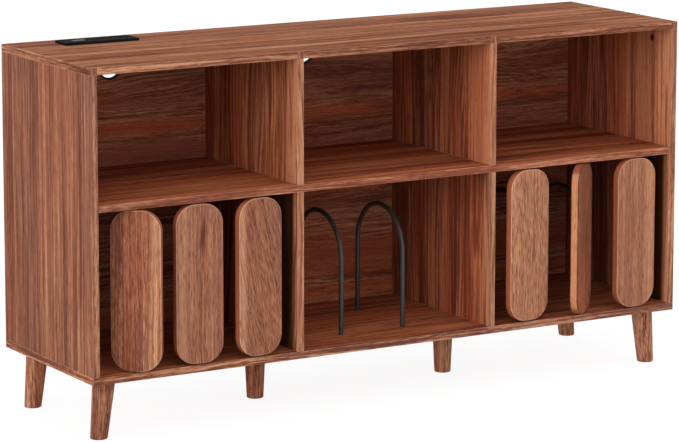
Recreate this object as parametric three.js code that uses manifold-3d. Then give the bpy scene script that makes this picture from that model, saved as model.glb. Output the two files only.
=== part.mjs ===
import * as THREE from 'three';
import { mergeVertices } from 'three/addons/utils/BufferGeometryUtils.js';
import Module from 'manifold-3d';

// A walnut record cabinet on six tapered legs: three open bays above a middle shelf, three tall
// record bays below it, turning slats in front of the two outer record bays, and black rod arches
// that part the records. Millimetres, +Z up, front towards -Y. The origin is on the floor, at the
// middle of the cabinet's footprint with its slats as they stand.

const wasm = await Module();
wasm.setup();

// Carcass
const cabinetWidth = 1400;
const cabinetDepth = 403;
const boardThickness = 15;
const lowerBayHeight = 329;
const upperBayHeight = 256;
const bayNames = [ 'left', 'middle', 'right' ];
const seatGap = 0.3;
const cutOverrun = 4;

// Back panel, in grooves of the boards round it, with a lined cable hole in each bay
const backThickness = 5;
const backInset = 8;
const grooveDepth = 6;
const cableHoleRadius = 25.5;
const cableHoleDrop = 47;
const grommetWall = 1.4;
const grommetFlangeReach = 2.6;
const grommetFlangeThickness = 1.2;

// Legs, and the studs that hold them to the bottom panel
const legHeight = 120;
const legTopRadius = 23;
const legFootRadius = 17.5;
const legSideInset = 48;
const legEndInset = 50;
const legSplay = 12.5;
const middleLegSetback = 192;
const studRadius = 4;
const studDepthInLeg = 26;
const studCover = 5;

// Cam fittings and their dowels, which draw the top down on the sides
const camRadius = 7.2;
const camCover = 3.5;
const camDrop = 27;
const camSetback = 71;
const camSlotLength = 7.2;
const camSlotWidth = 2;
const camSlotDepth = 2.5;
const dowelRadius = 3.2;
const dowelCover = 6;

// Turning slats, the angles at which they stand from left to right, and their pivot pins
const leftBaySlatDegrees = [ - 40, - 4, 5 ];
const rightBaySlatDegrees = [ 6, 39, 4 ];
const slatWidth = 102;
const slatThickness = 18;
const slatCornerRadius = 41;
const slatArrisRadius = 2;
const slatEndClearance = 3;
const slatSetback = 8;
const pinRadius = 3;
const pinDepthInSlat = 24;
const pinCover = 6;
const collarRadius = 8;

// Record arches, bent to half circles. Each pair stands a little to the left of its bay's middle
const archBays = [ 'middle', 'right' ];
const archesPerBay = 2;
const archRodRadius = 5;
const archReach = 183;
const archHeight = 253;
const archPairShift = - 5.4;
const archSetback = 95;
const archCover = 7;

// Power strip in the top
const stripLength = 167;
const stripDepth = 56;
const stripSideInset = 100;
const stripRearInset = 39;
const stripRise = 5.5;
const stripCornerRadius = 5;
const stripArrisRadius = 1;
const stripRim = 4;
const stripBodyHeight = 38;
const insertDepth = 14;
const insertRecess = 0.5;
const insertCornerRadius = 2;
const contactDepth = 9;

// The strip's sockets from left to right, and how they share its bare length: before the first
// socket, between the sockets and after the last one
const socketKinds = [ 'charging', 'mains', 'mains' ];
const bareLengthShares = [ 28, 15, 9, 17 ];

// Mains sockets of the strip
const mainsSocketLength = 34;
const mainsSocketDepth = 27;
const bladeSlotWidth = 2.2;
const bladeSlotLength = 8;
const bladeSlotOffset = 6.3;
const bladeRowOffset = 4;
const earthHoleRadius = 2.35;
const earthHoleOffset = 8;

// Charging socket of the strip
const usbInsertLength = 30;
const usbInsertDepth = 18;
const usbInsertRearShift = 4;
const usbPortCount = 2;
const usbPortLength = 12.5;
const usbPortHeight = 5.1;
const usbPortPitch = 14;
const usbTongueLength = 11;
const usbTongueThickness = 1.8;
const usbTongueRecess = 1;

// Facets on round pieces
const legSides = 32;
const rodSides = 12;
const pinSides = 12;
const holeSides = 28;
const bendSteps = 16;
const cornerSteps = 5;
const arrisSteps = 2;

// Places worked out from the sizes above
const sides = [ { side: 'left', sign: - 1 }, { side: 'right', sign: 1 } ];
const ends = [ { end: 'front', sign: - 1 }, { end: 'rear', sign: 1 } ];
const halfWidth = cabinetWidth / 2;
const halfDepth = cabinetDepth / 2;
const innerHalfWidth = halfWidth - boardThickness;
const floorTop = legHeight + boardThickness;
const shelfUnderside = floorTop + lowerBayHeight;
const shelfTop = shelfUnderside + boardThickness;
const topUnderside = shelfTop + upperBayHeight;
const cabinetTop = topUnderside + boardThickness;
const bayWidth = ( 2 * innerHalfWidth - ( bayNames.length - 1 ) * boardThickness ) / bayNames.length;
const bayPitch = bayWidth + boardThickness;
const bayPlaces = evenly( bayNames.length, bayPitch );
const bays = bayNames.map( ( name, i ) => ( { name, centre: bayPlaces[ i ] } ) );
const dividerOffset = bayPitch / 2;
const backRear = halfDepth - backInset;
const backFront = backRear - backThickness;
const cableHoleHeight = topUnderside - cableHoleDrop;
const studTop = floorTop - studCover;
const camHeight = topUnderside - camDrop;
const camDepth = boardThickness - camCover;
const dowelLine = halfWidth - boardThickness / 2;
const dowelTop = cabinetTop - dowelCover;
const slatLine = - halfDepth + slatSetback;
const slatFoot = floorTop + slatEndClearance;
const slatHead = shelfUnderside - slatEndClearance;
const pinDepthInBoard = boardThickness - pinCover;
const archFront = - halfDepth + archSetback;
const archRear = archFront + archReach;
const archHoleFloor = legHeight + archCover;
const stripLeft = - halfWidth + stripSideInset;
const stripX = stripLeft + stripLength / 2;
const stripY = halfDepth - stripRearInset - stripDepth / 2;
const stripFace = cabinetTop + stripRise;
const contactFloor = stripFace - contactDepth;

// Finishes
const walnut = { color: 0xa87459, roughness: 0.55, metalness: 0 };
const blackMetal = { color: 0x161616, roughness: 0.45, metalness: 0.6 };
const blackPlastic = { color: 0x262829, roughness: 0.6, metalness: 0 };
const greyPlastic = { color: 0x9a969c, roughness: 0.5, metalness: 0 };
const steel = { color: 0xa3a5a8, roughness: 0.35, metalness: 1 };

// Places of a row of `count` things at `pitch`, centred on zero.
function evenly( count, pitch ) {

	return Array.from( { length: count }, ( _, i ) => ( i - ( count - 1 ) / 2 ) * pitch );

}

function box( low, high ) {

	const size = high.map( ( value, axis ) => value - low[ axis ] );
	const middle = high.map( ( value, axis ) => ( value + low[ axis ] ) / 2 );
	return new THREE.BoxGeometry( ...size ).translate( ...middle );

}

// A round bar between two points.
function bar( start, end, radius, count = pinSides ) {

	const from = new THREE.Vector3( ...start );
	const along = new THREE.Vector3( ...end ).sub( from );
	const up = new THREE.Vector3( 0, 1, 0 );
	const turn = new THREE.Quaternion().setFromUnitVectors( up, along.clone().normalize() );
	const middle = from.addScaledVector( along, 1 / 2 );
	return new THREE.CylinderGeometry( radius, radius, along.length(), count )
		.applyQuaternion( turn )
		.translate( middle.x, middle.y, middle.z );

}

// A turned piece about +Z from a profile of [radius, height] points.
function turned( profile, count ) {

	const points = profile.map( ( [ radius, height ] ) => new THREE.Vector2( radius, height ) );
	return new THREE.LatheGeometry( points, count ).rotateX( Math.PI / 2 );

}

// A flat outline with rounded corners, centred on zero.
function roundedOutline( width, height, radius ) {

	const x = width / 2 - radius;
	const y = height / 2 - radius;
	const outline = new THREE.Shape();
	outline.absarc( x, y, radius, 0, Math.PI / 2 );
	outline.absarc( - x, y, radius, Math.PI / 2, Math.PI );
	outline.absarc( - x, - y, radius, Math.PI, 3 * Math.PI / 2 );
	outline.absarc( x, - y, radius, 3 * Math.PI / 2, 2 * Math.PI );
	return outline;

}

// A plate of that outline, standing from zero to `thickness` along +Z, with rounded arrises.
function roundedPlate( width, height, thickness, radius, arris ) {

	const corner = Math.min( radius, width / 2 - arris, height / 2 - arris );
	return new THREE.ExtrudeGeometry( roundedOutline( width, height, corner ), {
		depth: thickness - 2 * arris,
		bevelThickness: arris,
		bevelSize: arris,
		bevelOffset: - arris,
		bevelSegments: arrisSteps,
		curveSegments: cornerSteps
	} ).translate( 0, 0, arris );

}

function asSolid( geometry ) {

	const bare = geometry.clone();
	bare.deleteAttribute( 'normal' );
	bare.deleteAttribute( 'uv' );
	const merged = mergeVertices( bare );
	return new wasm.Manifold( new wasm.Mesh( {
		numProp: 3,
		vertProperties: merged.attributes.position.array,
		triVerts: Uint32Array.from( merged.index.array )
	} ) );

}

function asGeometry( solid ) {

	const mesh = solid.getMesh();
	const geometry = new THREE.BufferGeometry();
	geometry.setAttribute( 'position', new THREE.BufferAttribute( mesh.vertProperties, 3 ) );
	geometry.setIndex( new THREE.BufferAttribute( mesh.triVerts, 1 ) );
	geometry.computeVertexNormals();
	return geometry;

}

function cut( body, tools ) {

	return asGeometry( tools.reduce( ( solid, tool ) => solid.subtract( asSolid( tool ) ), asSolid( body ) ) );

}

function piece( name, geometry, finish ) {

	const mesh = new THREE.Mesh( geometry, new THREE.MeshStandardMaterial( finish ) );
	mesh.name = name;
	return mesh;

}

// Where each leg meets the bottom panel, and how far its foot leans out.
function legSpots() {

	const corners = sides.flatMap( ( { side, sign } ) => ends.map( ( { end, sign: way } ) => ( {
		name: `${ end }_${ side }`,
		x: sign * ( halfWidth - legSideInset ),
		y: way * ( halfDepth - legEndInset ),
		lean: sign * legSplay
	} ) ) );
	const middles = sides.map( ( { side, sign } ) => ( {
		name: `middle_${ side }`,
		x: sign * dividerOffset,
		y: - halfDepth + middleLegSetback,
		lean: 0
	} ) );
	return [ ...corners, ...middles ];

}

// A bar on a leg's own axis between two heights.
function alongLeg( spot, low, high, radius ) {

	const at = ( height ) => [ spot.x + spot.lean * ( 1 - height / legHeight ), spot.y, height ];
	return bar( at( low ), at( high ), radius );

}

function leg( spot ) {

	const slope = ( legTopRadius - legFootRadius ) / legHeight;
	const length = Math.hypot( legHeight, spot.lean ) + 2 * cutOverrun;
	const cone = new THREE.CylinderGeometry(
		legTopRadius + slope * cutOverrun, legFootRadius - slope * cutOverrun, length, legSides
	);
	cone.rotateX( Math.PI / 2 );
	cone.rotateY( Math.atan2( - spot.lean, legHeight ) );
	cone.translate( spot.x + spot.lean / 2, spot.y, legHeight / 2 );
	const reach = legTopRadius + legSplay + cutOverrun;
	const slab = box(
		[ spot.x - reach, spot.y - reach, 0 ], [ spot.x + reach, spot.y + reach, legHeight - seatGap ]
	);
	const bore = alongLeg(
		spot, legHeight - studDepthInLeg - seatGap, legHeight + cutOverrun, studRadius + seatGap
	);
	const solid = asSolid( cone ).intersect( asSolid( slab ) ).subtract( asSolid( bore ) );
	return piece( `leg_${ spot.name }`, asGeometry( solid ), walnut );

}

function legStud( spot ) {

	const shaft = alongLeg( spot, legHeight - studDepthInLeg, studTop - seatGap, studRadius );
	return piece( `leg_stud_${ spot.name }`, shaft, steel );

}

// The hole in the bottom panel for a leg's stud.
function studHole( spot ) {

	return alongLeg( spot, legHeight - cutOverrun, studTop, studRadius + seatGap );

}

// Every slat's place across the front, and the angle at which it stands.
function slatSpots() {

	const rows = { left: leftBaySlatDegrees, right: rightBaySlatDegrees };
	return bays.filter( ( { name } ) => name in rows ).flatMap( ( { name, centre } ) => {

		const degrees = rows[ name ];
		const gap = ( bayWidth - degrees.length * slatWidth ) / ( degrees.length + 1 );
		return evenly( degrees.length, slatWidth + gap ).map( ( offset, i ) => ( {
			x: centre + offset,
			turn: THREE.MathUtils.degToRad( degrees[ i ] )
		} ) );

	} );

}

function slat( spot, number ) {

	const height = slatHead - slatFoot;
	const plate = roundedPlate( slatWidth, height, slatThickness, slatCornerRadius, slatArrisRadius );
	plate.translate( 0, 0, - slatThickness / 2 );
	plate.rotateX( Math.PI / 2 );
	const bores = [ - 1, 1 ].map( ( way ) => bar(
		[ 0, 0, way * ( height / 2 + cutOverrun ) ],
		[ 0, 0, way * ( height / 2 - pinDepthInSlat - seatGap ) ],
		pinRadius + seatGap
	) );
	const mesh = piece( `slat_${ number }`, cut( plate, bores ), walnut );
	mesh.position.set( spot.x, slatLine, slatFoot + height / 2 );
	mesh.rotation.z = spot.turn;
	return mesh;

}

// The lower pin carries its slat on a collar that runs on the bottom panel.
function lowerPin( spot, number ) {

	const profile = [
		[ 0, floorTop - pinDepthInBoard + seatGap ],
		[ pinRadius, floorTop - pinDepthInBoard + seatGap ],
		[ pinRadius, floorTop + seatGap ],
		[ collarRadius, floorTop + seatGap ],
		[ collarRadius, slatFoot - seatGap ],
		[ pinRadius, slatFoot - seatGap ],
		[ pinRadius, slatFoot + pinDepthInSlat ],
		[ 0, slatFoot + pinDepthInSlat ]
	];
	const mesh = piece( `lower_pin_${ number }`, turned( profile, pinSides ), steel );
	mesh.position.set( spot.x, slatLine, 0 );
	return mesh;

}

function upperPin( spot, number ) {

	const shaft = bar(
		[ spot.x, slatLine, slatHead - pinDepthInSlat ],
		[ spot.x, slatLine, shelfUnderside + pinDepthInBoard - seatGap ],
		pinRadius
	);
	return piece( `upper_pin_${ number }`, shaft, steel );

}

// The hole in a board for a pin, which opens at `face` and goes `way` along Z.
function pinHole( spot, face, way ) {

	return bar(
		[ spot.x, slatLine, face - way * cutOverrun ],
		[ spot.x, slatLine, face + way * pinDepthInBoard ],
		pinRadius + seatGap
	);

}

// An arch's centre line, with one step on each straight run and a half circle of many between them.
class ArchLine extends THREE.Curve {

	constructor( x ) {

		super();
		this.stations = ArchLine.outline().map( ( [ y, z ] ) => new THREE.Vector3( x, y, z ) );

	}

	static outline() {

		const foot = archHoleFloor + seatGap;
		const bendRadius = archReach / 2;
		const bendLine = floorTop + archHeight - archRodRadius - bendRadius;
		const crown = Array.from( { length: bendSteps + 1 }, ( _, i ) => {

			const angle = Math.PI * ( 1 - i / bendSteps );
			return [ archFront + bendRadius * ( 1 + Math.cos( angle ) ), bendLine + bendRadius * Math.sin( angle ) ];

		} );
		return [ [ archFront, foot ], ...crown, [ archRear, foot ] ];

	}

	getPoint( t, target = new THREE.Vector3() ) {

		const place = t * ( this.stations.length - 1 );
		const first = Math.min( Math.floor( place ), this.stations.length - 2 );
		return target.lerpVectors( this.stations[ first ], this.stations[ first + 1 ], place - first );

	}

	getPointAt( u, target ) {

		return this.getPoint( u, target );

	}

	getTangentAt( u, target ) {

		return this.getTangent( u, target );

	}

}

// Places of the arches along X, as evenly spaced pairs in each bay that has them.
function archPlaces() {

	const offsets = evenly( archesPerBay, bayWidth / ( archesPerBay + 1 ) );
	return bays.filter( ( { name } ) => archBays.includes( name ) )
		.flatMap( ( { centre } ) => offsets.map( ( offset ) => centre + archPairShift + offset ) );

}

function arch( x, number ) {

	const section = new THREE.Shape( Array.from( { length: rodSides }, ( _, i ) => {

		const angle = 2 * Math.PI * i / rodSides;
		return new THREE.Vector2( archRodRadius * Math.cos( angle ), archRodRadius * Math.sin( angle ) );

	} ) );
	const extrudePath = new ArchLine( x );
	const steps = extrudePath.stations.length - 1;
	const rod = new THREE.ExtrudeGeometry( section, { steps, extrudePath } );
	return piece( `record_arch_${ number }`, rod, blackMetal );

}

function archHoles( x ) {

	return [ archFront, archRear ].map( ( y ) => bar(
		[ x, y, floorTop + cutOverrun ], [ x, y, archHoleFloor ], archRodRadius + seatGap, rodSides
	) );

}

// Two cam fittings on each side board, near its top edge.
function camSpots() {

	return sides.flatMap( ( { side, sign } ) => ends.map( ( { end, sign: way } ) => ( {
		name: `${ side }_${ end }`,
		side,
		sign,
		x: sign * innerHalfWidth,
		y: way * ( halfDepth - camSetback )
	} ) ) );

}

function cam( spot ) {

	const body = bar(
		[ spot.x, spot.y, camHeight ], [ spot.x + spot.sign * camDepth, spot.y, camHeight ], camRadius
	);
	const slot = box(
		[ spot.x - camSlotDepth, spot.y - camSlotLength / 2, camHeight - camSlotWidth / 2 ],
		[ spot.x + camSlotDepth, spot.y + camSlotLength / 2, camHeight + camSlotWidth / 2 ]
	);
	return piece( `cam_lock_${ spot.name }`, cut( body, [ slot ] ), steel );

}

function camDowel( spot ) {

	const x = spot.sign * dowelLine;
	const foot = camHeight + camRadius + seatGap;
	const shaft = bar( [ x, spot.y, foot ], [ x, spot.y, dowelTop - seatGap ], dowelRadius );
	return piece( `cam_dowel_${ spot.name }`, shaft, steel );

}

// What is bored out of a side board for one cam and its dowel.
function camBores( spot ) {

	const x = spot.sign * dowelLine;
	return [
		bar(
			[ spot.x - spot.sign * cutOverrun, spot.y, camHeight ],
			[ spot.x + spot.sign * ( camDepth + seatGap ), spot.y, camHeight ],
			camRadius + seatGap
		),
		bar( [ x, spot.y, camHeight ], [ x, spot.y, topUnderside + cutOverrun ], dowelRadius + seatGap )
	];

}

// The hole in the top panel for a cam's dowel.
function dowelHole( spot ) {

	const x = spot.sign * dowelLine;
	return bar( [ x, spot.y, topUnderside - cutOverrun ], [ x, spot.y, dowelTop ], dowelRadius + seatGap );

}

// The part of the strip that goes down through the top, with a clearance all round.
function stripBody( clearance, low, high ) {

	const reachX = stripLength / 2 - stripRim + clearance;
	const reachY = stripDepth / 2 - stripRim + clearance;
	return box( [ stripX - reachX, stripY - reachY, low ], [ stripX + reachX, stripY + reachY, high ] );

}

// Every socket's kind, place and size along the strip.
function socketSpots() {

	const sizes = {
		charging: { length: usbInsertLength, depth: usbInsertDepth, y: stripY + usbInsertRearShift },
		mains: { length: mainsSocketLength, depth: mainsSocketDepth, y: stripY }
	};
	const total = ( values ) => values.reduce( ( sum, value ) => sum + value, 0 );
	const bareLength = stripLength - total( socketKinds.map( ( kind ) => sizes[ kind ].length ) );
	const bareShare = bareLength / total( bareLengthShares );
	let reached = stripLeft;
	return socketKinds.map( ( kind, i ) => {

		const start = reached + bareLengthShares[ i ] * bareShare;
		reached = start + sizes[ kind ].length;
		return { kind, x: ( start + reached ) / 2, ...sizes[ kind ] };

	} );

}

// The outline of a socket insert, drawn out between two heights.
function insertPlate( spot, clearance, low, high ) {

	const outline = roundedOutline(
		spot.length + 2 * clearance, spot.depth + 2 * clearance, insertCornerRadius + clearance
	);
	const plate = new THREE.ExtrudeGeometry( outline, {
		depth: high - low,
		bevelEnabled: false,
		curveSegments: arrisSteps
	} );
	return plate.translate( spot.x, spot.y, low );

}

function insertBlank( spot ) {

	return insertPlate( spot, 0, stripFace - insertDepth, stripFace - insertRecess );

}

function stripHousing( sockets ) {

	const rim = roundedPlate(
		stripLength, stripDepth, stripRise - seatGap, stripCornerRadius, stripArrisRadius
	);
	rim.translate( stripX, stripY, cabinetTop + seatGap );
	const body = stripBody( 0, cabinetTop - stripBodyHeight, cabinetTop + stripRise / 2 );
	const pockets = sockets.map( ( spot ) => insertPlate(
		spot, seatGap, stripFace - insertDepth - seatGap, stripFace + cutOverrun
	) );
	const whole = asGeometry( asSolid( rim ).add( asSolid( body ) ) );
	return piece( 'power_strip_housing', cut( whole, pockets ), blackPlastic );

}

function mainsSocket( spot, number ) {

	const bladeY = spot.y + bladeRowOffset;
	const blades = [ - 1, 1 ].map( ( hand ) => {

		const x = spot.x + hand * bladeSlotOffset;
		return box(
			[ x - bladeSlotWidth / 2, bladeY - bladeSlotLength / 2, contactFloor ],
			[ x + bladeSlotWidth / 2, bladeY + bladeSlotLength / 2, stripFace + cutOverrun ]
		);

	} );
	const earthY = spot.y - earthHoleOffset;
	const earth = bar(
		[ spot.x, earthY, contactFloor ], [ spot.x, earthY, stripFace + cutOverrun ], earthHoleRadius
	);
	return piece( `mains_socket_${ number }`, cut( insertBlank( spot ), [ ...blades, earth ] ), blackPlastic );

}

// The charging socket, with a contact tongue in each port.
function usbSocket( spot ) {

	const upright = ( x, length, height, low, high ) => asSolid( box(
		[ x - length / 2, spot.y - height / 2, low ], [ x + length / 2, spot.y + height / 2, high ]
	) );
	const block = evenly( usbPortCount, usbPortPitch ).reduce( ( solid, offset ) => {

		const x = spot.x + offset;
		const well = upright( x, usbPortLength, usbPortHeight, contactFloor, stripFace + cutOverrun );
		const tongue = upright(
			x, usbTongueLength, usbTongueThickness, contactFloor - cutOverrun, stripFace - usbTongueRecess
		);
		return solid.subtract( well.subtract( tongue ) );

	}, asSolid( insertBlank( spot ) ) );
	return piece( 'usb_socket', asGeometry( block ), greyPlastic );

}

// The groove for the back panel's edge, between two corners in the panel's plane.
function groove( low, high ) {

	return box( [ low[ 0 ], backFront - seatGap, low[ 1 ] ], [ high[ 0 ], backRear + seatGap, high[ 1 ] ] );

}

function topPanel( cams ) {

	const board = box( [ - halfWidth, - halfDepth, topUnderside ], [ halfWidth, halfDepth, cabinetTop ] );
	const reach = innerHalfWidth + grooveDepth;
	return piece( 'top_panel', cut( board, [
		groove( [ - reach, topUnderside - cutOverrun ], [ reach, topUnderside + grooveDepth ] ),
		stripBody( seatGap, topUnderside - cutOverrun, cabinetTop + cutOverrun ),
		...cams.map( dowelHole )
	] ), walnut );

}

function bottomPanel( legs, slats, arches ) {

	const board = box( [ - halfWidth, - halfDepth, legHeight ], [ halfWidth, halfDepth, floorTop ] );
	const reach = innerHalfWidth + grooveDepth;
	return piece( 'bottom_panel', cut( board, [
		groove( [ - reach, floorTop - grooveDepth ], [ reach, floorTop + cutOverrun ] ),
		...legs.map( studHole ),
		...slats.map( ( spot ) => pinHole( spot, floorTop, - 1 ) ),
		...arches.flatMap( archHoles )
	] ), walnut );

}

function sideBoard( side, sign, cams ) {

	const between = ( a, b ) => [ Math.min( a, b ), Math.max( a, b ) ];
	const [ left, right ] = between( sign * innerHalfWidth, sign * halfWidth );
	const [ grooveLeft, grooveRight ] = between(
		sign * ( innerHalfWidth - cutOverrun ), sign * ( innerHalfWidth + grooveDepth )
	);
	const board = box( [ left, - halfDepth, floorTop + seatGap ], [ right, halfDepth, topUnderside - seatGap ] );
	return piece( `${ side }_side`, cut( board, [
		groove( [ grooveLeft, floorTop - cutOverrun ], [ grooveRight, topUnderside + cutOverrun ] ),
		...cams.filter( ( spot ) => spot.side === side ).flatMap( camBores )
	] ), walnut );

}

// A board inside the carcass between two corners in the front plane, clear of the back panel.
function innerBoard( low, high ) {

	return box( [ low[ 0 ], - halfDepth, low[ 1 ] ], [ high[ 0 ], backFront - seatGap, high[ 1 ] ] );

}

function middleShelf( slats ) {

	const reach = innerHalfWidth - seatGap;
	const board = innerBoard( [ - reach, shelfUnderside ], [ reach, shelfTop ] );
	const holes = slats.map( ( spot ) => pinHole( spot, shelfUnderside, 1 ) );
	return piece( 'middle_shelf', cut( board, holes ), walnut );

}

function divider( name, x, floor, ceiling ) {

	const board = innerBoard(
		[ x - boardThickness / 2, floor + seatGap ], [ x + boardThickness / 2, ceiling - seatGap ]
	);
	return piece( name, board, walnut );

}

function dividers() {

	return sides.flatMap( ( { side, sign } ) => [
		divider( `upper_divider_${ side }`, sign * dividerOffset, shelfTop, topUnderside ),
		divider( `lower_divider_${ side }`, sign * dividerOffset, floorTop, shelfUnderside )
	] );

}

function backPanel() {

	const reach = grooveDepth - seatGap;
	const sheet = box(
		[ - innerHalfWidth - reach, backFront, floorTop - reach ],
		[ innerHalfWidth + reach, backRear, topUnderside + reach ]
	);
	const holes = bays.map( ( { centre } ) => bar(
		[ centre, backFront - cutOverrun, cableHoleHeight ],
		[ centre, backRear + cutOverrun, cableHoleHeight ],
		cableHoleRadius,
		holeSides
	) );
	return piece( 'back_panel', cut( sheet, holes ), walnut );

}

// A ring with a flange on the front of the back panel and a sleeve through it.
function grommet( bay ) {

	const sleeve = cableHoleRadius - seatGap;
	const bore = sleeve - grommetWall;
	const flange = cableHoleRadius + grommetFlangeReach;
	const front = - seatGap - grommetFlangeThickness;
	const ring = [
		[ bore, front ], [ flange, front ], [ flange, - seatGap ],
		[ sleeve, - seatGap ], [ sleeve, backThickness ], [ bore, backThickness ], [ bore, front ]
	];
	const points = ring.map( ( [ radius, y ] ) => new THREE.Vector2( radius, y ) );
	const lining = new THREE.LatheGeometry( points, holeSides );
	const mesh = piece( `cable_grommet_${ bay.name }`, lining, blackPlastic );
	mesh.position.set( bay.centre, backFront, cableHoleHeight );
	return mesh;

}

function buildCabinet() {

	const legs = legSpots();
	const slats = slatSpots();
	const arches = archPlaces();
	const cams = camSpots();
	const sockets = socketSpots();
	const numbered = ( make ) => ( spot, i ) => make( spot, i + 1 );
	const group = new THREE.Group();
	group.add(
		topPanel( cams ),
		bottomPanel( legs, slats, arches ),
		...sides.map( ( { side, sign } ) => sideBoard( side, sign, cams ) ),
		middleShelf( slats ),
		...dividers(),
		backPanel(),
		...bays.map( grommet ),
		...legs.map( leg ),
		...legs.map( legStud ),
		...slats.map( numbered( slat ) ),
		...slats.map( numbered( lowerPin ) ),
		...slats.map( numbered( upperPin ) ),
		...arches.map( numbered( arch ) ),
		...cams.map( cam ),
		...cams.map( camDowel ),
		stripHousing( sockets ),
		...sockets.filter( ( { kind } ) => kind === 'mains' ).map( numbered( mainsSocket ) ),
		...sockets.filter( ( { kind } ) => kind === 'charging' ).map( usbSocket )
	);
	return group;

}

// The cabinet stands with the middle of its footprint on the origin.
const cabinet = buildCabinet();
const footprint = new THREE.Box3().setFromObject( cabinet, true ).getCenter( new THREE.Vector3() );
cabinet.position.set( - footprint.x, - footprint.y, 0 );

export default cabinet;
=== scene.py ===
"""Record cabinet in walnut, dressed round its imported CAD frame.

Three open bays stand over three tall ones. Turning slats close the outer tall bays, black rod
arches part the records, and a power strip is let into the top. All sizes are in metres.
"""

import logging
import math
from collections.abc import Sequence
from dataclasses import dataclass, replace
from enum import Enum

import bmesh
import bpy
import numpy as np
from mathutils import Matrix, Vector


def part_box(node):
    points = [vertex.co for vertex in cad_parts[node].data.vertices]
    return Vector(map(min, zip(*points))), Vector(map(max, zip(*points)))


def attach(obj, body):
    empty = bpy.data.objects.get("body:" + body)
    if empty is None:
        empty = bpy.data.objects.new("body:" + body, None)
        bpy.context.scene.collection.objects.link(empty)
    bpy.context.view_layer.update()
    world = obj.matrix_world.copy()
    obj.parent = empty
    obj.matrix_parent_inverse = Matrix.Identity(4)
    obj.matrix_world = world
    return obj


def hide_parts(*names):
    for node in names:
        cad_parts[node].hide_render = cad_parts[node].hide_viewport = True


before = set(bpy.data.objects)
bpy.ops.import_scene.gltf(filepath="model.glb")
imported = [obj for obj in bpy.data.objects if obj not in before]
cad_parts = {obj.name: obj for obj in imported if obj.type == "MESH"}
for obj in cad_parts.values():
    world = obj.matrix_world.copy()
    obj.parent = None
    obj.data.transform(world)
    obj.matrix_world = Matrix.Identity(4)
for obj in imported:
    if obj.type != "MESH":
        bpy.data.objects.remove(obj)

LOG = logging.getLogger("record_cabinet")
CABINET = "cabinet"
FULL_TURN = 2.0 * math.pi
SMOOTH_LIMIT = math.radians(38.0)
COPLANAR_LIMIT = math.radians(0.5)
# Turns of a skin: none, and one that takes its Y axis up and its Z axis to the front.
STRAIGHT = np.eye(3)
STANDING = np.array([[1.0, 0.0, 0.0], [0.0, 0.0, -1.0], [0.0, 1.0, 0.0]])
# The middle value of a noise.
MIDDLE = 0.5
# How far a whole seed moves the wood's pattern along each axis.
SEED_STEPS = (1.7, 2.3, 3.1)
# Half length of a mark that runs past both ends of any piece.
ENDLESS = 3.0

Pair = tuple[float, float]
Triple = tuple[float, float, float]
Colour = tuple[float, float, float, float]
Settings = dict[str, object]
Sockets = dict[str | int, object]


def shade(red: int, green: int, blue: int) -> Colour:
    """Changes a screen colour to the linear one that a shader takes, by the sRGB curve.

    Args:
        red: Red from 0 to 255.
        green: Green from 0 to 255.
        blue: Blue from 0 to 255.

    Returns:
        Linear red, green, blue and an alpha of 1.
    """
    part = np.array([red, green, blue]) / 255.0
    linear = np.where(part <= 0.04045, part / 12.92, ((part + 0.055) / 1.055) ** 2.4)
    return (float(linear[0]), float(linear[1]), float(linear[2]), 1.0)


class Grain(Enum):
    """Direction of the wood's grain, as the turn that lays the pattern's Z axis along it."""

    ALONG_X = (0.0, math.pi / 2, 0.0)
    ALONG_Z = (0.0, 0.0, 0.0)


class Tone(Enum):
    """Colour of a mark, a tint or a worn or deep place."""

    DARK = shade(84, 48, 36)
    PURPLE = shade(124, 76, 70)
    RUST = shade(182, 98, 62)
    AMBER = shade(212, 156, 116)
    # Painted shadow of the slats on the faces behind them.
    PAINTED_SHADOW = shade(46, 20, 12)
    # Painted shade on the rounded ends of a slat's side faces.
    CROWN_SHADE = shade(150, 80, 54)
    RED = shade(160, 88, 62)
    GREY = shade(132, 88, 78)
    # Painted shade of inner faces: multiplied in, it darkens and reddens them.
    INNER_SHADE = shade(255, 207, 178)
    FLECK = shade(92, 52, 38)
    PORE = shade(74, 42, 32)
    ARRIS = shade(205, 156, 128)
    # Painted shade in the sockets' holes.
    HOLE_SHADE = shade(9, 9, 10)


class Layer(Enum):
    """A layer of noise: bumps per metre across the grain and along it, and its detail."""

    DRIFT = (7.0, 1.6, 2.0)
    BROAD = (26.0, 0.8, 1.0)
    LINES = (155.0, 2.2, 3.0)
    FIBRES = (520.0, 9.0, 3.0)
    STROKES = (620.0, 42.0, 2.0)
    SLAT_STROKES = (340.0, 48.0, 2.0)
    PORES = (1400.0, 95.0, 1.0)
    RINGS = (75.0, 1.1, 1.5)
    TINT = (11.0, 0.9, 1.0)
    CLOUD = (38.0, 38.0, 3.0)
    SCUFF = (160.0, 60.0, 4.0)
    FLOOR = (3.0, 3.0, 2.0)


class Span(Enum):
    """Where a mask fades in: the value at which it is 0, and the one at which it is 1."""

    FLECKS = (0.54, 0.68)
    PORES = (0.60, 0.70)
    RINGS = (0.60, 0.68)
    REDDER = (0.46, 0.66)
    GREYER = (0.50, 0.30)
    STREAKS = (0.36, 0.60)
    MARK = (1.0, 0.25)
    OFF_ARRIS = (0.0002, 0.0014)
    CLOUD = (0.35, 0.75)
    SCUFF = (0.60, 0.78)


class Slot(Enum):
    """Names of material slots."""

    BOARD = "walnut_board"
    SOLID = "walnut_solid"
    BLACK_METAL = "black_metal"
    BLACK_PLASTIC = "black_plastic"
    GREY_PLASTIC = "grey_plastic"
    STEEL = "steel"


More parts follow.
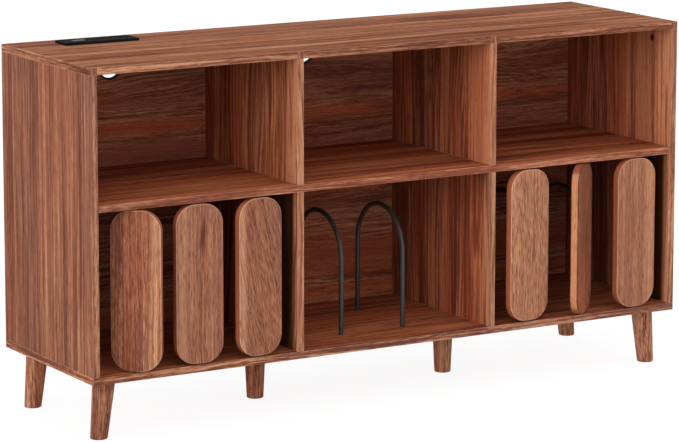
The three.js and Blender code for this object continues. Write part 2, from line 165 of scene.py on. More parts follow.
class Signal:
    """Wraps a node's output, so that arithmetic on it adds Math nodes."""

    def __init__(self, recipe: "Recipe", socket: bpy.types.NodeSocket) -> None:
        """Keeps the socket and the recipe that it belongs to."""
        self.recipe = recipe
        self.socket = socket

    def __add__(self, other: "Signal | float") -> "Signal":
        """Adds."""
        return self.recipe.sum("ADD", self, other)

    def __radd__(self, other: float) -> "Signal":
        """Adds to a number."""
        return self.recipe.sum("ADD", other, self)

    def __sub__(self, other: "Signal | float") -> "Signal":
        """Takes away."""
        return self.recipe.sum("SUBTRACT", self, other)

    def __rsub__(self, other: float) -> "Signal":
        """Takes away from a number."""
        return self.recipe.sum("SUBTRACT", other, self)

    def __mul__(self, other: "Signal | float") -> "Signal":
        """Multiplies."""
        return self.recipe.sum("MULTIPLY", self, other)

    def __rmul__(self, other: float) -> "Signal":
        """Multiplies a number."""
        return self.recipe.sum("MULTIPLY", other, self)

    def __abs__(self) -> "Signal":
        """Drops the sign."""
        return self.recipe.sum("ABSOLUTE", self, 0.0)


Feed = Signal | float | Sequence[float]


@dataclass(frozen=True)
class Bump:
    """Strength and depth of a fine relief."""

    strength: float
    depth: float


class Recipe:
    """Node tree of one material or world while it is written."""

    def __init__(self, owner: bpy.types.Material | bpy.types.World) -> None:
        """Starts with an empty tree.

        Args:
            owner: The material or world that the tree belongs to.
        """
        owner.use_nodes = True
        self.owner = owner
        self.tree = owner.node_tree
        self.tree.nodes.clear()

    def make(self, kind: str, settings: Settings | None = None,
             sockets: Sockets | None = None) -> bpy.types.Node:
        """Adds a node.

        Args:
            kind: The node's type name.
            settings: Its settings, set first. "stops" are a ramp's places and colours.
            sockets: Values or links of its inputs, by name or number.

        Returns:
            The node.
        """
        node = self.tree.nodes.new(kind)
        for key, value in (settings or {}).items():
            if key == "stops":
                self.set_stops(node.color_ramp, value)
            else:
                setattr(node, key, value)
        for key, value in (sockets or {}).items():
            if isinstance(value, Signal):
                self.tree.links.new(value.socket, node.inputs[key])
            else:
                node.inputs[key].default_value = value
        return node

    @staticmethod
    def set_stops(ramp: bpy.types.ColorRamp, stops: Sequence[tuple[float, Colour]]) -> None:
        """Writes a ramp's stops, in rising order.

        Args:
            ramp: The ramp.
            stops: Each stop's place and colour.
        """
        while len(ramp.elements) < len(stops):
            ramp.elements.new(1.0)
        for element, (place, colour) in zip(ramp.elements, stops):
            element.position = place
            element.color = colour

    def out(self, node: bpy.types.Node, key: str | int = 0) -> Signal:
        """Wraps one of a node's outputs."""
        return Signal(self, node.outputs[key])

    def sum(self, operation: str, first: Feed, second: Feed) -> Signal:
        """Adds a Math node of that operation."""
        return self.out(self.make("ShaderNodeMath", {"operation": operation}, {0: first, 1: second}))

    def vector(self, operation: str, first: Feed, second: Feed, key: str | int = 0) -> Signal:
        """Adds a Vector Math node of that operation. Its "Value" output is a length or the like."""
        node = self.make("ShaderNodeVectorMath", {"operation": operation}, {0: first, 1: second})
        return self.out(node, key)

    def fade(self, value: Feed, low: float, high: float) -> Signal:
        """Goes smoothly from 0 where the value is low to 1 where it is high."""
        sockets = {"Value": value, "From Min": low, "From Max": high}
        return self.out(self.make("ShaderNodeMapRange", {"interpolation_type": "SMOOTHSTEP"}, sockets))

    def mix(self, share: Feed, first: Feed, second: Feed, blend: str = "MIX") -> Signal:
        """Mixes two colours: the share is that of the second one."""
        settings = {"data_type": "RGBA", "blend_type": blend}
        return self.out(self.make("ShaderNodeMix", settings, {0: share, 6: first, 7: second}), 2)

    def choose(self, mask: Feed, first: Feed, second: Feed) -> Signal:
        """Takes the first vector where the mask is 0 and the second where it is 1."""
        settings = {"data_type": "VECTOR"}
        return self.out(self.make("ShaderNodeMix", settings, {0: mask, 4: first, 5: second}), 1)

    def ramp(self, value: Feed, stops: Sequence[tuple[float, Colour]]) -> Signal:
        """Turns a value into a colour along a ramp."""
        return self.out(self.make("ShaderNodeValToRGB", {"stops": stops}, {"Fac": value}))

    def mapping(self, place: Feed, centre: Triple, turn: Triple, scale: Triple = (1.0, 1.0, 1.0)) -> Signal:
        """Reads a place in axes of its own, which have that centre, turn and scale."""
        sockets = {"Vector": place, "Location": centre, "Rotation": turn, "Scale": scale}
        return self.out(self.make("ShaderNodeMapping", {"vector_type": "TEXTURE"}, sockets))

    def place(self, centre: Triple = (0.0, 0.0, 0.0), turn: Triple = (0.0, 0.0, 0.0)) -> Signal:
        """Gives the place on the piece, in metres, in a pattern's axes."""
        return self.mapping(self.out(self.make("ShaderNodeTexCoord"), "Object"), centre, turn)

    def noise(self, place: Feed, scales: Triple, detail: float, key: str = "Fac") -> Signal:
        """Soft noise around 0.5.

        Args:
            place: Where it is read.
            scales: Number of bumps per metre along each axis.
            detail: How many finer layers it has.
            key: The output, a value or a colour.

        Returns:
            The noise.
        """
        stretched = self.vector("MULTIPLY", place, scales)
        sockets = {"Vector": stretched, "Scale": 1.0, "Detail": detail}
        return self.out(self.make("ShaderNodeTexNoise", None, sockets), key)

    def layer(self, place: Feed, layer: Layer, key: str = "Fac") -> Signal:
        """Reads one layer of noise, with its grain along Z."""
        across, along, detail = layer.value
        return self.noise(place, (across, across, along), detail, key)

    def axes(self, place: Feed) -> tuple[Signal, Signal, Signal]:
        """Splits a place into its three parts."""
        node = self.make("ShaderNodeSeparateXYZ", None, {0: place})
        return (self.out(node, 0), self.out(node, 1), self.out(node, 2))

    def joined(self, parts: Sequence[Feed]) -> Signal:
        """Makes a place from its three parts."""
        return self.out(self.make("ShaderNodeCombineXYZ", None, dict(enumerate(parts))))

    def surface(self, steady: Sockets, changing: Sockets, height: Signal, bump: Bump) -> bpy.types.Material:
        """Ends the recipe with its shader.

        Args:
            steady: Shader values that are the same all over.
            changing: Base Color, Roughness and the like, which change over the surface.
            height: Height that the bump reads.
            bump: How strong and how deep the bump is.

        Returns:
            The finished material.
        """
        sockets = {"Height": height, "Strength": bump.strength, "Distance": bump.depth}
        relief = self.out(self.make("ShaderNodeBump", None, sockets))
        shader = self.make("ShaderNodeBsdfPrincipled", None, {**steady, **changing, "Normal": relief})
        self.make("ShaderNodeOutputMaterial", None, {"Surface": self.out(shader)})
        return self.owner


@dataclass(frozen=True)
class Mark:
    """A soft-edged mark in the wood: a streak, a knot's shadow or a band.

    The growth lines fray a mark and tear its edge, most of all one whose half length is over
    "long".
    """

    place: Triple
    reach: Triple
    tone: Tone
    strength: float
    slant: float = 0.0
    long: float = 0.3
    frayed: float = 0.7
    whole: float = 0.2
    torn: float = 1.2
    least_torn: float = 0.4

    def mask(self, recipe: Recipe, piece: Signal, lines: Signal) -> Signal:
        """Measures the mark: full in its middle and none past its reach.

        Args:
            recipe: The material's recipe.
            piece: The place in the pattern's axes.
            lines: The growth lines.

        Returns:
            The mark's mask.
        """
        fray = self.frayed if self.reach[2] > self.long else self.whole
        own = recipe.mapping(piece, self.place, (0.0, self.slant, 0.0), self.reach)
        away = recipe.vector("LENGTH", own, (0.0, 0.0, 0.0), "Value")
        streaks = recipe.fade(lines, *Span.STREAKS.value) * (fray * self.strength)
        streaks = streaks + (1.0 - fray) * self.strength
        edge = (lines - MIDDLE) * (self.torn * fray + self.least_torn)
        return recipe.fade(away + edge, *Span.MARK.value) * streaks


def streak(x: float, z: float, width: float, length: float, tone: Tone, strength: float,
           slant: float = 0.0, depth: float = 0.03) -> Mark:
    """Makes a mark on the face of a slat or panel, from its half width and half length."""
    return Mark((x, 0.0, z), (width, depth, length), tone, strength, slant)


@dataclass(frozen=True)
class PaintedLightAndShade:
    """Painted light and shade on an inner face: light at its front edge, shade to the rear.

    "front" and "rear" change the tone there. Behind the slats, below "level", a painted shadow of
    the slats darkens the wood by its own share. Each pair holds the depths between which a zone fades
    in. Near the front, "line" is the contrast of the growth lines in the painted light, "least" the
    share of the painted shadow that is left and "cooler" the change of the inner face's painted
    shade. The last field is the share of painted shade that an inner face has in full.
    """

    front: float
    rear: float
    # Painted shadow of the slats: its share, and the height below which it falls.
    slat_shadow: float = 0.0
    level: float = 1.0
    # Depths of the painted light at the front edge, and of the painted shade to the rear.
    bright: Pair = (-0.115, -0.190)
    dark: Pair = (-0.060, 0.150)
    # Depths of the painted shadow of the slats, and of its weaker part near the front.
    behind: Pair = (-0.196, -0.172)
    within: Pair = (-0.020, -0.140)
    line: float = 1.4
    least: float = 0.18
    cooler: float = -0.35
    full_inner_shade: float = 0.7

    def laid_on(self, recipe: Recipe, piece: Signal, lines: Signal, tone: Signal,
                inner_shade: Signal) -> tuple[Signal, Signal, Signal]:
        """Paints light at the front of an inner face, shade to its rear and the slats' shadow.

        Args:
            recipe: The material's recipe.
            piece: The place in the pattern's axes.
            lines: The growth lines.
            tone: The wood's tone.
            inner_shade: The share of painted shade, which is on inner faces alone.

        Returns:
            The new tone, the mask of the painted shadow of the slats and the new share of painted shade.
        """
        _, depth, height = recipe.axes(piece)
        near = recipe.fade(depth, *self.bright)
        # Painted light near the front edge, and painted shade to the rear.
        painted_glint = near * ((lines - MIDDLE) * self.line + self.front)
        tone = (recipe.fade(depth, *self.dark) * self.rear + painted_glint) * inner_shade + tone
        # Painted shadow of the slats, below the level.
        below = recipe.sum("LESS_THAN", height, self.level)
        within = recipe.fade(depth, *self.within) * (1.0 - self.least) + self.least
        slat_shadow = recipe.fade(depth, *self.behind) * within * below * inner_shade * (self.slat_shadow / self.full_inner_shade)
        return (tone, slat_shadow, inner_shade * (near * self.cooler + 1.0))


@dataclass(frozen=True)
class Rim:
    """Painted light and shade on a slat's narrow side faces, and a painted line on its arrises.

    The side's painted tone ends at "reach" from the slat's middle plane, and turns to painted shade
    past the height "crown" over and under the slat's middle. The line on the arrises is painted
    highlight and wear; on slat 5 it is painted shade.
    """

    # Painted light and shade on the side faces, and painted highlight and wear on the arrises.
    colour: Colour = shade(160, 84, 57)
    strength: float = 0.80
    reach: float = 0.0074
    arris: Colour = shade(224, 176, 146)
    worn: float = 0.45
    crown: float = 1.0
    reach_soft: float = 0.0006
    crown_shade_soft: float = 0.010
    start_soft: float = 0.0008
    face_soft: float = 0.0003

    def laid_on(self, recipe: Recipe, piece: Signal, colour: Signal, arrises: Pair) -> Signal:
        """Paints light and shade on a slat's side faces, and a line on its arrises.

        Args:
            recipe: The material's recipe.
            piece: The place in the pattern's axes.
            colour: The wood's colour.
            arrises: Where the arrises start and end, from the slat's middle plane.

        Returns:
            The colour with the side faces and arrises in it.
        """
        _, y, z = recipe.axes(piece)
        across = abs(y)
        start, face = arrises
        side = recipe.fade(across, self.reach, self.reach - self.reach_soft)
        # Mask of the painted highlight and wear along the arrises.
        worn = (recipe.fade(across, start, start + self.start_soft)
                * recipe.fade(across, face, face - self.face_soft))
        # Painted shade on the rounded ends of the side faces.
        ends = recipe.fade(abs(z), self.crown, self.crown + self.crown_shade_soft)
        tone = recipe.mix(ends, self.colour, Tone.CROWN_SHADE.value)
        colour = recipe.mix(side * self.strength, colour, tone)
        return recipe.mix(worn * self.worn, colour, self.arris)


@dataclass(frozen=True)
class Figure:
    """How one piece of walnut is figured.

    The grain sways by "wave". "band", "line", "stroke" and "fleck" are the contrasts of its broad
    bands, growth lines, strokes and flecks, "lift" brightens it and "red" reddens it. "warm" is the
    share of painted shade, darker and redder, on inner faces where the pattern's X is below 0, and
    where it is above.
    """

    seed: float
    wave: float
    band: float
    line: float
    lift: float = 0.0
    red: float = 0.3
    inner_shades: Pair = (0.0, 0.0)
    marks: tuple[Mark, ...] = ()
    # Painted light and shade of an inner face.
    deep: PaintedLightAndShade | None = None
    edge_lift: float = -0.16
    edge_line: float = 0.5
    stroke: float = 0.6
    fleck: float = 0.30
    strokes: Layer = Layer.STROKES
    fine: float = 1.0
    gloss: float = 0.02


@dataclass(frozen=True)
class Walnut:
    """Satin walnut: broad bands, growth lines, fibres, pores and worn arrises.

    The pattern's own Z axis runs along the grain and its X and Y axes across it. "halves" are half
    a board's sizes, "shell" its edge band's thickness, "rim" and "arrises" a slat's edges, and
    "uprights" the places along the top's front edge where the grain of an upright shows. What
    starts with "edge" or "crossing" changes a contrast or the tone on an edge band or an upright's
    end. What ends with "matt" or "height", "rubbed" and "pore_depth" are shares of the roughness
    and the relief.
    """

    name: str
    centre: Triple
    turn: Triple
    figure: Figure
    halves: Triple | None = None
    rim: Rim | None = None
    arrises: Pair = (0.0, 0.0)
    uprights: tuple[float, ...] = ()
    upright_half: float = 0.0075
    shell: float = 0.0006
    plain_rear: bool = False
    rear_drop: float = 0.10
    sway: float = 4.0
    base: float = 0.54
    fibre: float = 1.0
    ring: float = 0.13
    edge_band: float = -0.6
    edge_stroke: float = 0.8
    crossing_line: float = -0.65
    crossing_lift: float = 0.08
    grey: float = 0.30
    pore: float = 0.35
    worn: float = 0.22
    matt: float = 0.56
    pore_matt: float = 0.16
    fibre_matt: float = 0.25
    rubbed: float = 0.04
    line_height: float = 0.5
    fibre_height: float = 0.6
    pore_depth: float = 0.9
    bump: Bump = Bump(0.22, 0.00025)
    tones: tuple[tuple[float, Colour], ...] = (
        (0.10, shade(96, 56, 42)),
        (0.32, shade(128, 80, 61)),
        (0.52, shade(150, 98, 75)),
        (0.72, shade(171, 119, 90)),
        (0.92, shade(190, 138, 105)),
    )

    def made(self) -> bpy.types.Material:
        """Writes the material.

        Returns:
            The material.
        """
        figure = self.figure
        recipe = Recipe(bpy.data.materials.new(self.name))
        piece = recipe.place(self.centre, self.turn)
        banding, arris, grain, crossing = self.laid(recipe, piece)
        inner_shade = self.inner_shade_share(recipe, piece, banding)
        scaled = recipe.vector("MULTIPLY", grain, (figure.fine, figure.fine, 1.0))
        moved = recipe.vector("ADD", scaled, tuple(figure.seed * step for step in SEED_STEPS))
        drift = recipe.vector("SUBTRACT", recipe.layer(moved, Layer.DRIFT, "Color"), (MIDDLE,) * 3)
        reach = figure.wave * self.sway
        swayed = recipe.vector("ADD", moved, recipe.vector("MULTIPLY", drift, (reach, reach, 0.0)))
        lines = recipe.layer(swayed, Layer.LINES)
        fibres = recipe.layer(moved, Layer.FIBRES)
        strokes = recipe.layer(swayed, figure.strokes)
        pores = recipe.fade(recipe.layer(moved, Layer.PORES), *Span.PORES.value)
        rings = recipe.fade(recipe.layer(swayed, Layer.RINGS), *Span.RINGS.value)
        tint = recipe.layer(moved, Layer.TINT)
        broad_contrast = banding * self.edge_band * figure.band + figure.band
        line_contrast = banding * figure.edge_line + figure.line
        stroke_contrast = banding * self.edge_stroke + figure.stroke
        tone = ((recipe.layer(swayed, Layer.BROAD) - MIDDLE) * broad_contrast
                + (lines - MIDDLE) * line_contrast * (crossing * self.crossing_line + 1.0)
                + (fibres - MIDDLE) * self.fibre - (strokes - MIDDLE) * stroke_contrast
                + banding * (figure.edge_lift - figure.lift) + crossing * self.crossing_lift
                + (self.base + figure.lift))
        # Painted light and shade on inner faces, and the painted shadow of the slats.
        slat_shadow = None
        if figure.deep is not None:
            tone, slat_shadow, inner_shade = figure.deep.laid_on(recipe, piece, lines, tone, inner_shade)
        tone = tone - rings * self.ring
        colour = recipe.ramp(tone, self.tones)
        colour = recipe.mix(recipe.fade(tint, *Span.REDDER.value) * figure.red, colour, Tone.RED.value)
        colour = recipe.mix(recipe.fade(tint, *Span.GREYER.value) * self.grey, colour, Tone.GREY.value)
        for mark in figure.marks:
            colour = recipe.mix(mark.mask(recipe, piece, lines), colour, mark.tone.value)
        # Painted shade on inner faces, which darkens and reddens them.
        colour = recipe.mix(inner_shade, colour, Tone.INNER_SHADE.value, "MULTIPLY")
        if self.plain_rear:
            rear = recipe.sum("GREATER_THAN", recipe.axes(piece)[1], 0.0)
            colour = recipe.mix(rear, colour, recipe.ramp(tone - self.rear_drop, self.tones))
        # Painted shadow of the slats on the faces behind them.
        if slat_shadow is not None:
            colour = recipe.mix(slat_shadow, colour, Tone.PAINTED_SHADOW.value)
        # Painted light and shade on a slat's side faces and arrises.
        if self.rim is not None:
            colour = self.rim.laid_on(recipe, piece, colour, self.arrises)
        flecks = recipe.fade(strokes, *Span.FLECKS.value)
        colour = recipe.mix(flecks * figure.fleck, colour, Tone.FLECK.value)
        colour = recipe.mix(pores * self.pore, colour, Tone.PORE.value)
        colour = recipe.mix(arris * self.worn, colour, Tone.ARRIS.value)
        roughness = (pores * self.pore_matt + (fibres - MIDDLE) * self.fibre_matt
                     - arris * self.rubbed + self.matt)
        height = lines * self.line_height + fibres * self.fibre_height - pores * self.pore_depth
        changing = {"Base Color": colour, "Roughness": roughness}
        return recipe.surface({"Specular IOR Level": figure.gloss}, changing, height, self.bump)

    def inner_shade_share(self, recipe: Recipe, piece: Signal, banding: Feed) -> Feed:
        """Finds the painted shade of inner faces: one share where X is below 0, one on the other side.

        Args:
            recipe: The material's recipe.
            piece: The place in the pattern's axes.
            banding: The mask of the edge bands, which stay as they are.

        Returns:
            The share of painted shade.
        """
        below, above = self.figure.inner_shades
        side = recipe.sum("GREATER_THAN", recipe.axes(piece)[0], 0.0)
        return (side * (above - below) + below) * (1.0 - banding)

    def laid(self, recipe: Recipe, piece: Signal) -> tuple[Feed, Feed, Signal, Feed]:
        """Finds the edge bands and the arrises of a board and turns the grain on its edges.

        Args:
            recipe: The material's recipe.
            piece: The place in the pattern's axes.

        Returns:
            The mask of the edge bands, the mask of the arrises, the place with its grain laid and
            the mask of the uprights' ends in the front band.
        """
        if self.halves is None:
            return (0.0, 0.0, piece, 0.0)
        x, y, z = recipe.axes(piece)
        near = [half - abs(axis) for half, axis in zip(self.halves, (x, y, z))]
        # The second smallest distance to a face is small along the arrises alone.
        least = recipe.sum("MINIMUM", near[0], near[1])
        most = recipe.sum("MAXIMUM", near[0], near[1])
        second = recipe.sum("MAXIMUM", least, recipe.sum("MINIMUM", most, near[2]))
        arris = 1.0 - recipe.fade(second, *Span.OFF_ARRIS.value)
        edge = recipe.sum("LESS_THAN", near[1], self.shell)
        end = recipe.sum("LESS_THAN", near[2], self.shell)
        grain = recipe.choose(end, piece, recipe.joined((x, z, y)))
        crossing = 0.0
        for middle in self.uprights:
            crossing = recipe.sum("LESS_THAN", abs(z - middle), self.upright_half) * edge + crossing
        if self.uprights:
            grain = recipe.choose(crossing, grain, recipe.joined((z, y, x)))
        return (recipe.sum("MAXIMUM", edge, end), arris, grain, crossing)


@dataclass(frozen=True)
class Coating:
    """Paint, plastic or plated steel: a fine grain over cloudy wear.

    "wear" and "matt" are the shares of cloud, scuff and grain in the colour and in the roughness.
    "recess" holds the heights between which a painted shade darkens the holes.
    """

    name: str
    base: Colour
    worn: Colour
    roughness: float
    metallic: float = 0.0
    grain: float = 1400.0
    specular: float = 0.5
    bump: Bump = Bump(0.15, 0.0001)
    hole_shade: Pair | None = None
    wear: Triple = (0.35, 0.25, 0.35)
    matt: Triple = (0.22, 0.10, 0.18)
    grain_detail: float = 2.0

    def made(self) -> bpy.types.Material:
        """Writes the material.

        Returns:
            The material.
        """
        recipe = Recipe(bpy.data.materials.new(self.name))
        piece = recipe.place()
        cloud = recipe.layer(piece, Layer.CLOUD)
        grain = recipe.noise(piece, (self.grain,) * 3, self.grain_detail)
        scuff = recipe.fade(recipe.layer(piece, Layer.SCUFF), *Span.SCUFF.value)
        share = (recipe.fade(cloud, *Span.CLOUD.value) * self.wear[0] + scuff * self.wear[1]
                 + (grain - MIDDLE) * self.wear[2])
        colour = recipe.mix(share, self.base, self.worn)
        # Painted shade in the holes.
        if self.hole_shade is not None:
            low, high = self.hole_shade
            colour = recipe.mix(recipe.fade(recipe.axes(piece)[2], high, low), colour, Tone.HOLE_SHADE.value)
        roughness = ((cloud - MIDDLE) * self.matt[0] + (grain - MIDDLE) * self.matt[2]
                     + scuff * self.matt[1] + self.roughness)
        steady = {"Specular IOR Level": self.specular, "Metallic": self.metallic}
        return recipe.surface(steady, {"Base Color": colour, "Roughness": roughness}, grain, self.bump)


@dataclass(frozen=True)
class Skin:
    """Vertices and faces of a closed surface."""

    vertices: np.ndarray
    faces: list[tuple[int, ...]]

    def moved(self, shift: Sequence[float] = (0.0, 0.0, 0.0), turn: np.ndarray = STRAIGHT) -> "Skin":
        """Turns the surface by a 3 x 3 matrix and then shifts it."""
        return Skin(self.vertices @ turn.T + np.asarray(shift), self.faces)

    def mesh(self, name: str) -> bpy.types.Mesh:
        """Makes a Blender mesh of it.

        Args:
            name: The mesh's name.

        Returns:
            The mesh.
        """
        mesh = bpy.data.meshes.new(name)
        mesh.from_pydata(self.vertices.tolist(), [], self.faces)
        mesh.validate()
        return mesh


def carried(rings: np.ndarray, closed: bool = False) -> Skin:
    """Joins rings of points into a surface.

    Point (i, j) of the grid is point j of ring i. Each ring closes on itself, and each ring is
    joined to the next by quads. The two end rings are closed by one flat face each, or joined
    to each other.

    Args:
        rings: Array of rings x points x 3. Seen from the last ring, the points go anticlockwise.
        closed: Whether the last ring joins the first.

    Returns:
        The surface.
    """
    count, points = rings.shape[:2]
    row = np.arange(count if closed else count - 1)[:, None]
    column = np.arange(points)[None, :]
    after = (column + 1) % points
    above = (row + 1) % count
    quads = np.stack([row * points + column, row * points + after,
                      above * points + after, above * points + column], axis=-1)
    faces = [tuple(quad) for quad in quads.reshape(-1, 4).tolist()]
    if not closed:
        faces.append(tuple(range(points - 1, -1, -1)))
        faces.append(tuple(range((count - 1) * points, count * points)))
    return Skin(rings.reshape(-1, 3), faces)


def lathed(profile: np.ndarray, sides: int, closed: bool = False) -> Skin:
    """Turns a profile about Z: (r cos t, r sin t, z) for each profile row (r, z).

    Args:
        profile: Rows of radius and height, upwards on the outside.
        sides: Number of sides.
        closed: Whether the profile is a closed loop, as a ring's is.

    Returns:
        The surface.
    """
    angle = np.arange(sides) / sides * FULL_TURN
    radius, height = profile[:, :1], profile[:, 1:]
    rings = np.stack([radius * np.cos(angle), radius * np.sin(angle), height + np.zeros(sides)], axis=-1)
    return carried(rings, closed)


def rounded_loop(width: float, depth: float, radius: float, steps: int) -> np.ndarray:
    """Walks round a rectangle with rounded corners, anticlockwise.

    Each corner is a quarter circle: corner centre + radius (cos t, sin t).

    Args:
        width: Size along X.
        depth: Size along Y.
        radius: Radius of the corners.
        steps: Steps in each corner.

    Returns:
        Array of points x 2.
    """
    corner = np.repeat(np.arange(4), steps + 1)
    angle = (corner + np.tile(np.linspace(0.0, 1.0, steps + 1), 4)) * math.pi / 2
    side_x = np.where((corner == 0) | (corner == 3), 1.0, -1.0)
    side_y = np.where(corner < 2, 1.0, -1.0)
    return np.stack([side_x * (width / 2 - radius) + radius * np.cos(angle),
                     side_y * (depth / 2 - radius) + radius * np.sin(angle)], axis=-1)


def framed(width: float, depth: float, radius: float, profile: np.ndarray, steps: int) -> Skin:
    """Carries a profile round a rectangle with rounded corners.

    Ring i is the rectangle drawn in by the profile's inset i, at the profile's height i.

    Args:
        width: Size along X.
        depth: Size along Y.
        radius: Radius of the corners.
        profile: Rows of inset and height, upwards.
        steps: Steps in each corner.

    Returns:
        The surface.
    """
    sharp = 1e-5
    loops = [rounded_loop(width - 2 * inset, depth - 2 * inset, max(radius - inset, sharp), steps)
             for inset, _ in profile]
    rings = [np.column_stack([loop, np.full(len(loop), height)]) for loop, (_, height) in zip(loops, profile)]
    return carried(np.stack(rings))


def quarter(steps: int) -> np.ndarray:
    """Gives the angles of a quarter turn in even steps."""
    return np.linspace(0.0, math.pi / 2, steps + 1)


def plate_profile(thickness: float, arris: float, steps: int) -> np.ndarray:
    """Draws a plate's edge: up a quarter circle, straight, and in again.

    Args:
        thickness: The plate's thickness, from height 0.
        arris: Radius of both arrises.
        steps: Steps in each arris.

    Returns:
        Rows of inset and height.
    """
    angle = quarter(steps)
    lower = np.column_stack([arris * (1 - np.sin(angle)), arris * (1 - np.cos(angle))])
    return np.concatenate([lower, lower[::-1] * (1.0, -1.0) + (0.0, thickness)])


def settle(mesh: bpy.types.Mesh) -> bpy.types.Mesh:
    """Leaves faces that look along an axis flat, rounds the others and marks the hard edges.

    Args:
        mesh: The mesh.

    Returns:
        The same mesh.
    """
    along_axis = 0.99995
    normal = np.empty(len(mesh.polygons) * 3)
    mesh.polygons.foreach_get("normal", normal)
    straight = np.abs(normal.reshape(-1, 3)).max(axis=1) > along_axis
    mesh.set_sharp_from_angle(angle=SMOOTH_LIMIT)
    mesh.polygons.foreach_set("use_smooth", ~straight)
    return mesh


def carved(blank: Skin, cutters: Sequence[Skin], name: str) -> bpy.types.Mesh:
    """Cuts holes into a blank.

    Args:
        blank: The closed surface to cut.
        cutters: Closed surfaces of the holes.
        name: The mesh's name.

    Returns:
        The cut mesh.
    """
    made = [bpy.data.objects.new(f"{name}_{i}", skin.mesh(f"{name}_{i}"))
            for i, skin in enumerate([blank, *cutters])]
    for thing in made:
        bpy.context.scene.collection.objects.link(thing)
    for cutter in made[1:]:
        modifier = made[0].modifiers.new("cut", "BOOLEAN")
        modifier.operation = "DIFFERENCE"
        modifier.solver = "EXACT"
        modifier.object = cutter
    bpy.context.view_layer.update()
    shape = made[0].evaluated_get(bpy.context.evaluated_depsgraph_get())
    mesh = bpy.data.meshes.new_from_object(shape)
    mesh.name = name
    for thing in made:
        bpy.data.objects.remove(thing)
    return mesh


def board_copy(node: str, arris: float) -> bpy.types.Mesh:
    """Copies a board's CAD mesh, merges it and rounds its outer edges.

    Args:
        node: The board's CAD node.
        arris: Radius of the rounding.

    Returns:
        The copy.
    """
    merge_reach, on_face, arris_steps = 1e-6, 1e-5, 3
    low, high = (np.array(corner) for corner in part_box(node))
    shape = bmesh.new()
    shape.from_mesh(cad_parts[node].data)
    bmesh.ops.remove_doubles(shape, verts=shape.verts, dist=merge_reach)
    bmesh.ops.dissolve_limit(shape, angle_limit=COPLANAR_LIMIT, verts=shape.verts, edges=shape.edges)

    def on_rim(edge: bmesh.types.BMEdge) -> bool:
        """Tells whether an edge lies on two outer faces of the board.

        Args:
            edge: The edge.

        Returns:
            Whether it does.
        """
        ends = np.array([vertex.co for vertex in edge.verts])
        flat = (np.abs(ends - low) < on_face).all(axis=0) | (np.abs(ends - high) < on_face).all(axis=0)
        return int(flat.sum()) >= 2

    rim = [edge for edge in shape.edges if on_rim(edge)]
    bmesh.ops.bevel(shape, geom=rim, offset=arris, offset_type="OFFSET", segments=arris_steps,
                    profile=0.5, affect="EDGES", clamp_overlap=True)
    mesh = bpy.data.meshes.new(node + "_copy")
    shape.to_mesh(mesh)
    shape.free()
    return mesh


def installed(name: str, mesh: bpy.types.Mesh, body: str, material: bpy.types.Material,
              node: str) -> bpy.types.Object:
    """Adds a piece to the scene in place of its CAD node.

    Args:
        name: The piece's name.
        mesh: Its mesh, already in its place.
        body: The body that it rides on.
        material: Its material.
        node: The CAD node that it stands for.

    Returns:
        The piece.
    """
    settle(mesh)
    mesh.materials.append(material)
    piece = bpy.data.objects.new(name, mesh)
    bpy.context.scene.collection.objects.link(piece)
    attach(piece, body)
    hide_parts(node)
    return piece


def coated(node: str, material: bpy.types.Material) -> bpy.types.Object:
    """Gives a CAD node that stays its material.

    Args:
        node: The node.
        material: The material.

    Returns:
        The node's object.
    """
    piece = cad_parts[node]
    piece.data.materials.clear()
    piece.data.materials.append(material)
    return piece


@dataclass(frozen=True)
class Board:
    """One board of the carcass, the way its grain runs and how its veneer is figured."""

    node: str
    grain: Grain
    figure: Figure


# Painted light at the front edge of an upright's inner face, and painted shade to its rear.
UPRIGHT_PAINTED_LIGHT = PaintedLightAndShade(0.42, -0.38)
# Painted light at the front edge, painted shade to the rear and the slats' painted shadow.
PAINTED_SLAT_SHADOW = PaintedLightAndShade(0.42, -0.10, 0.86, behind=(-0.190, -0.166))
# Painted light along the front edge of an inner face.
PAINTED_FRONT_LIGHT = Mark((0.0, -0.186, 0.0), (0.09, 0.022, ENDLESS), Tone.AMBER, 0.35)


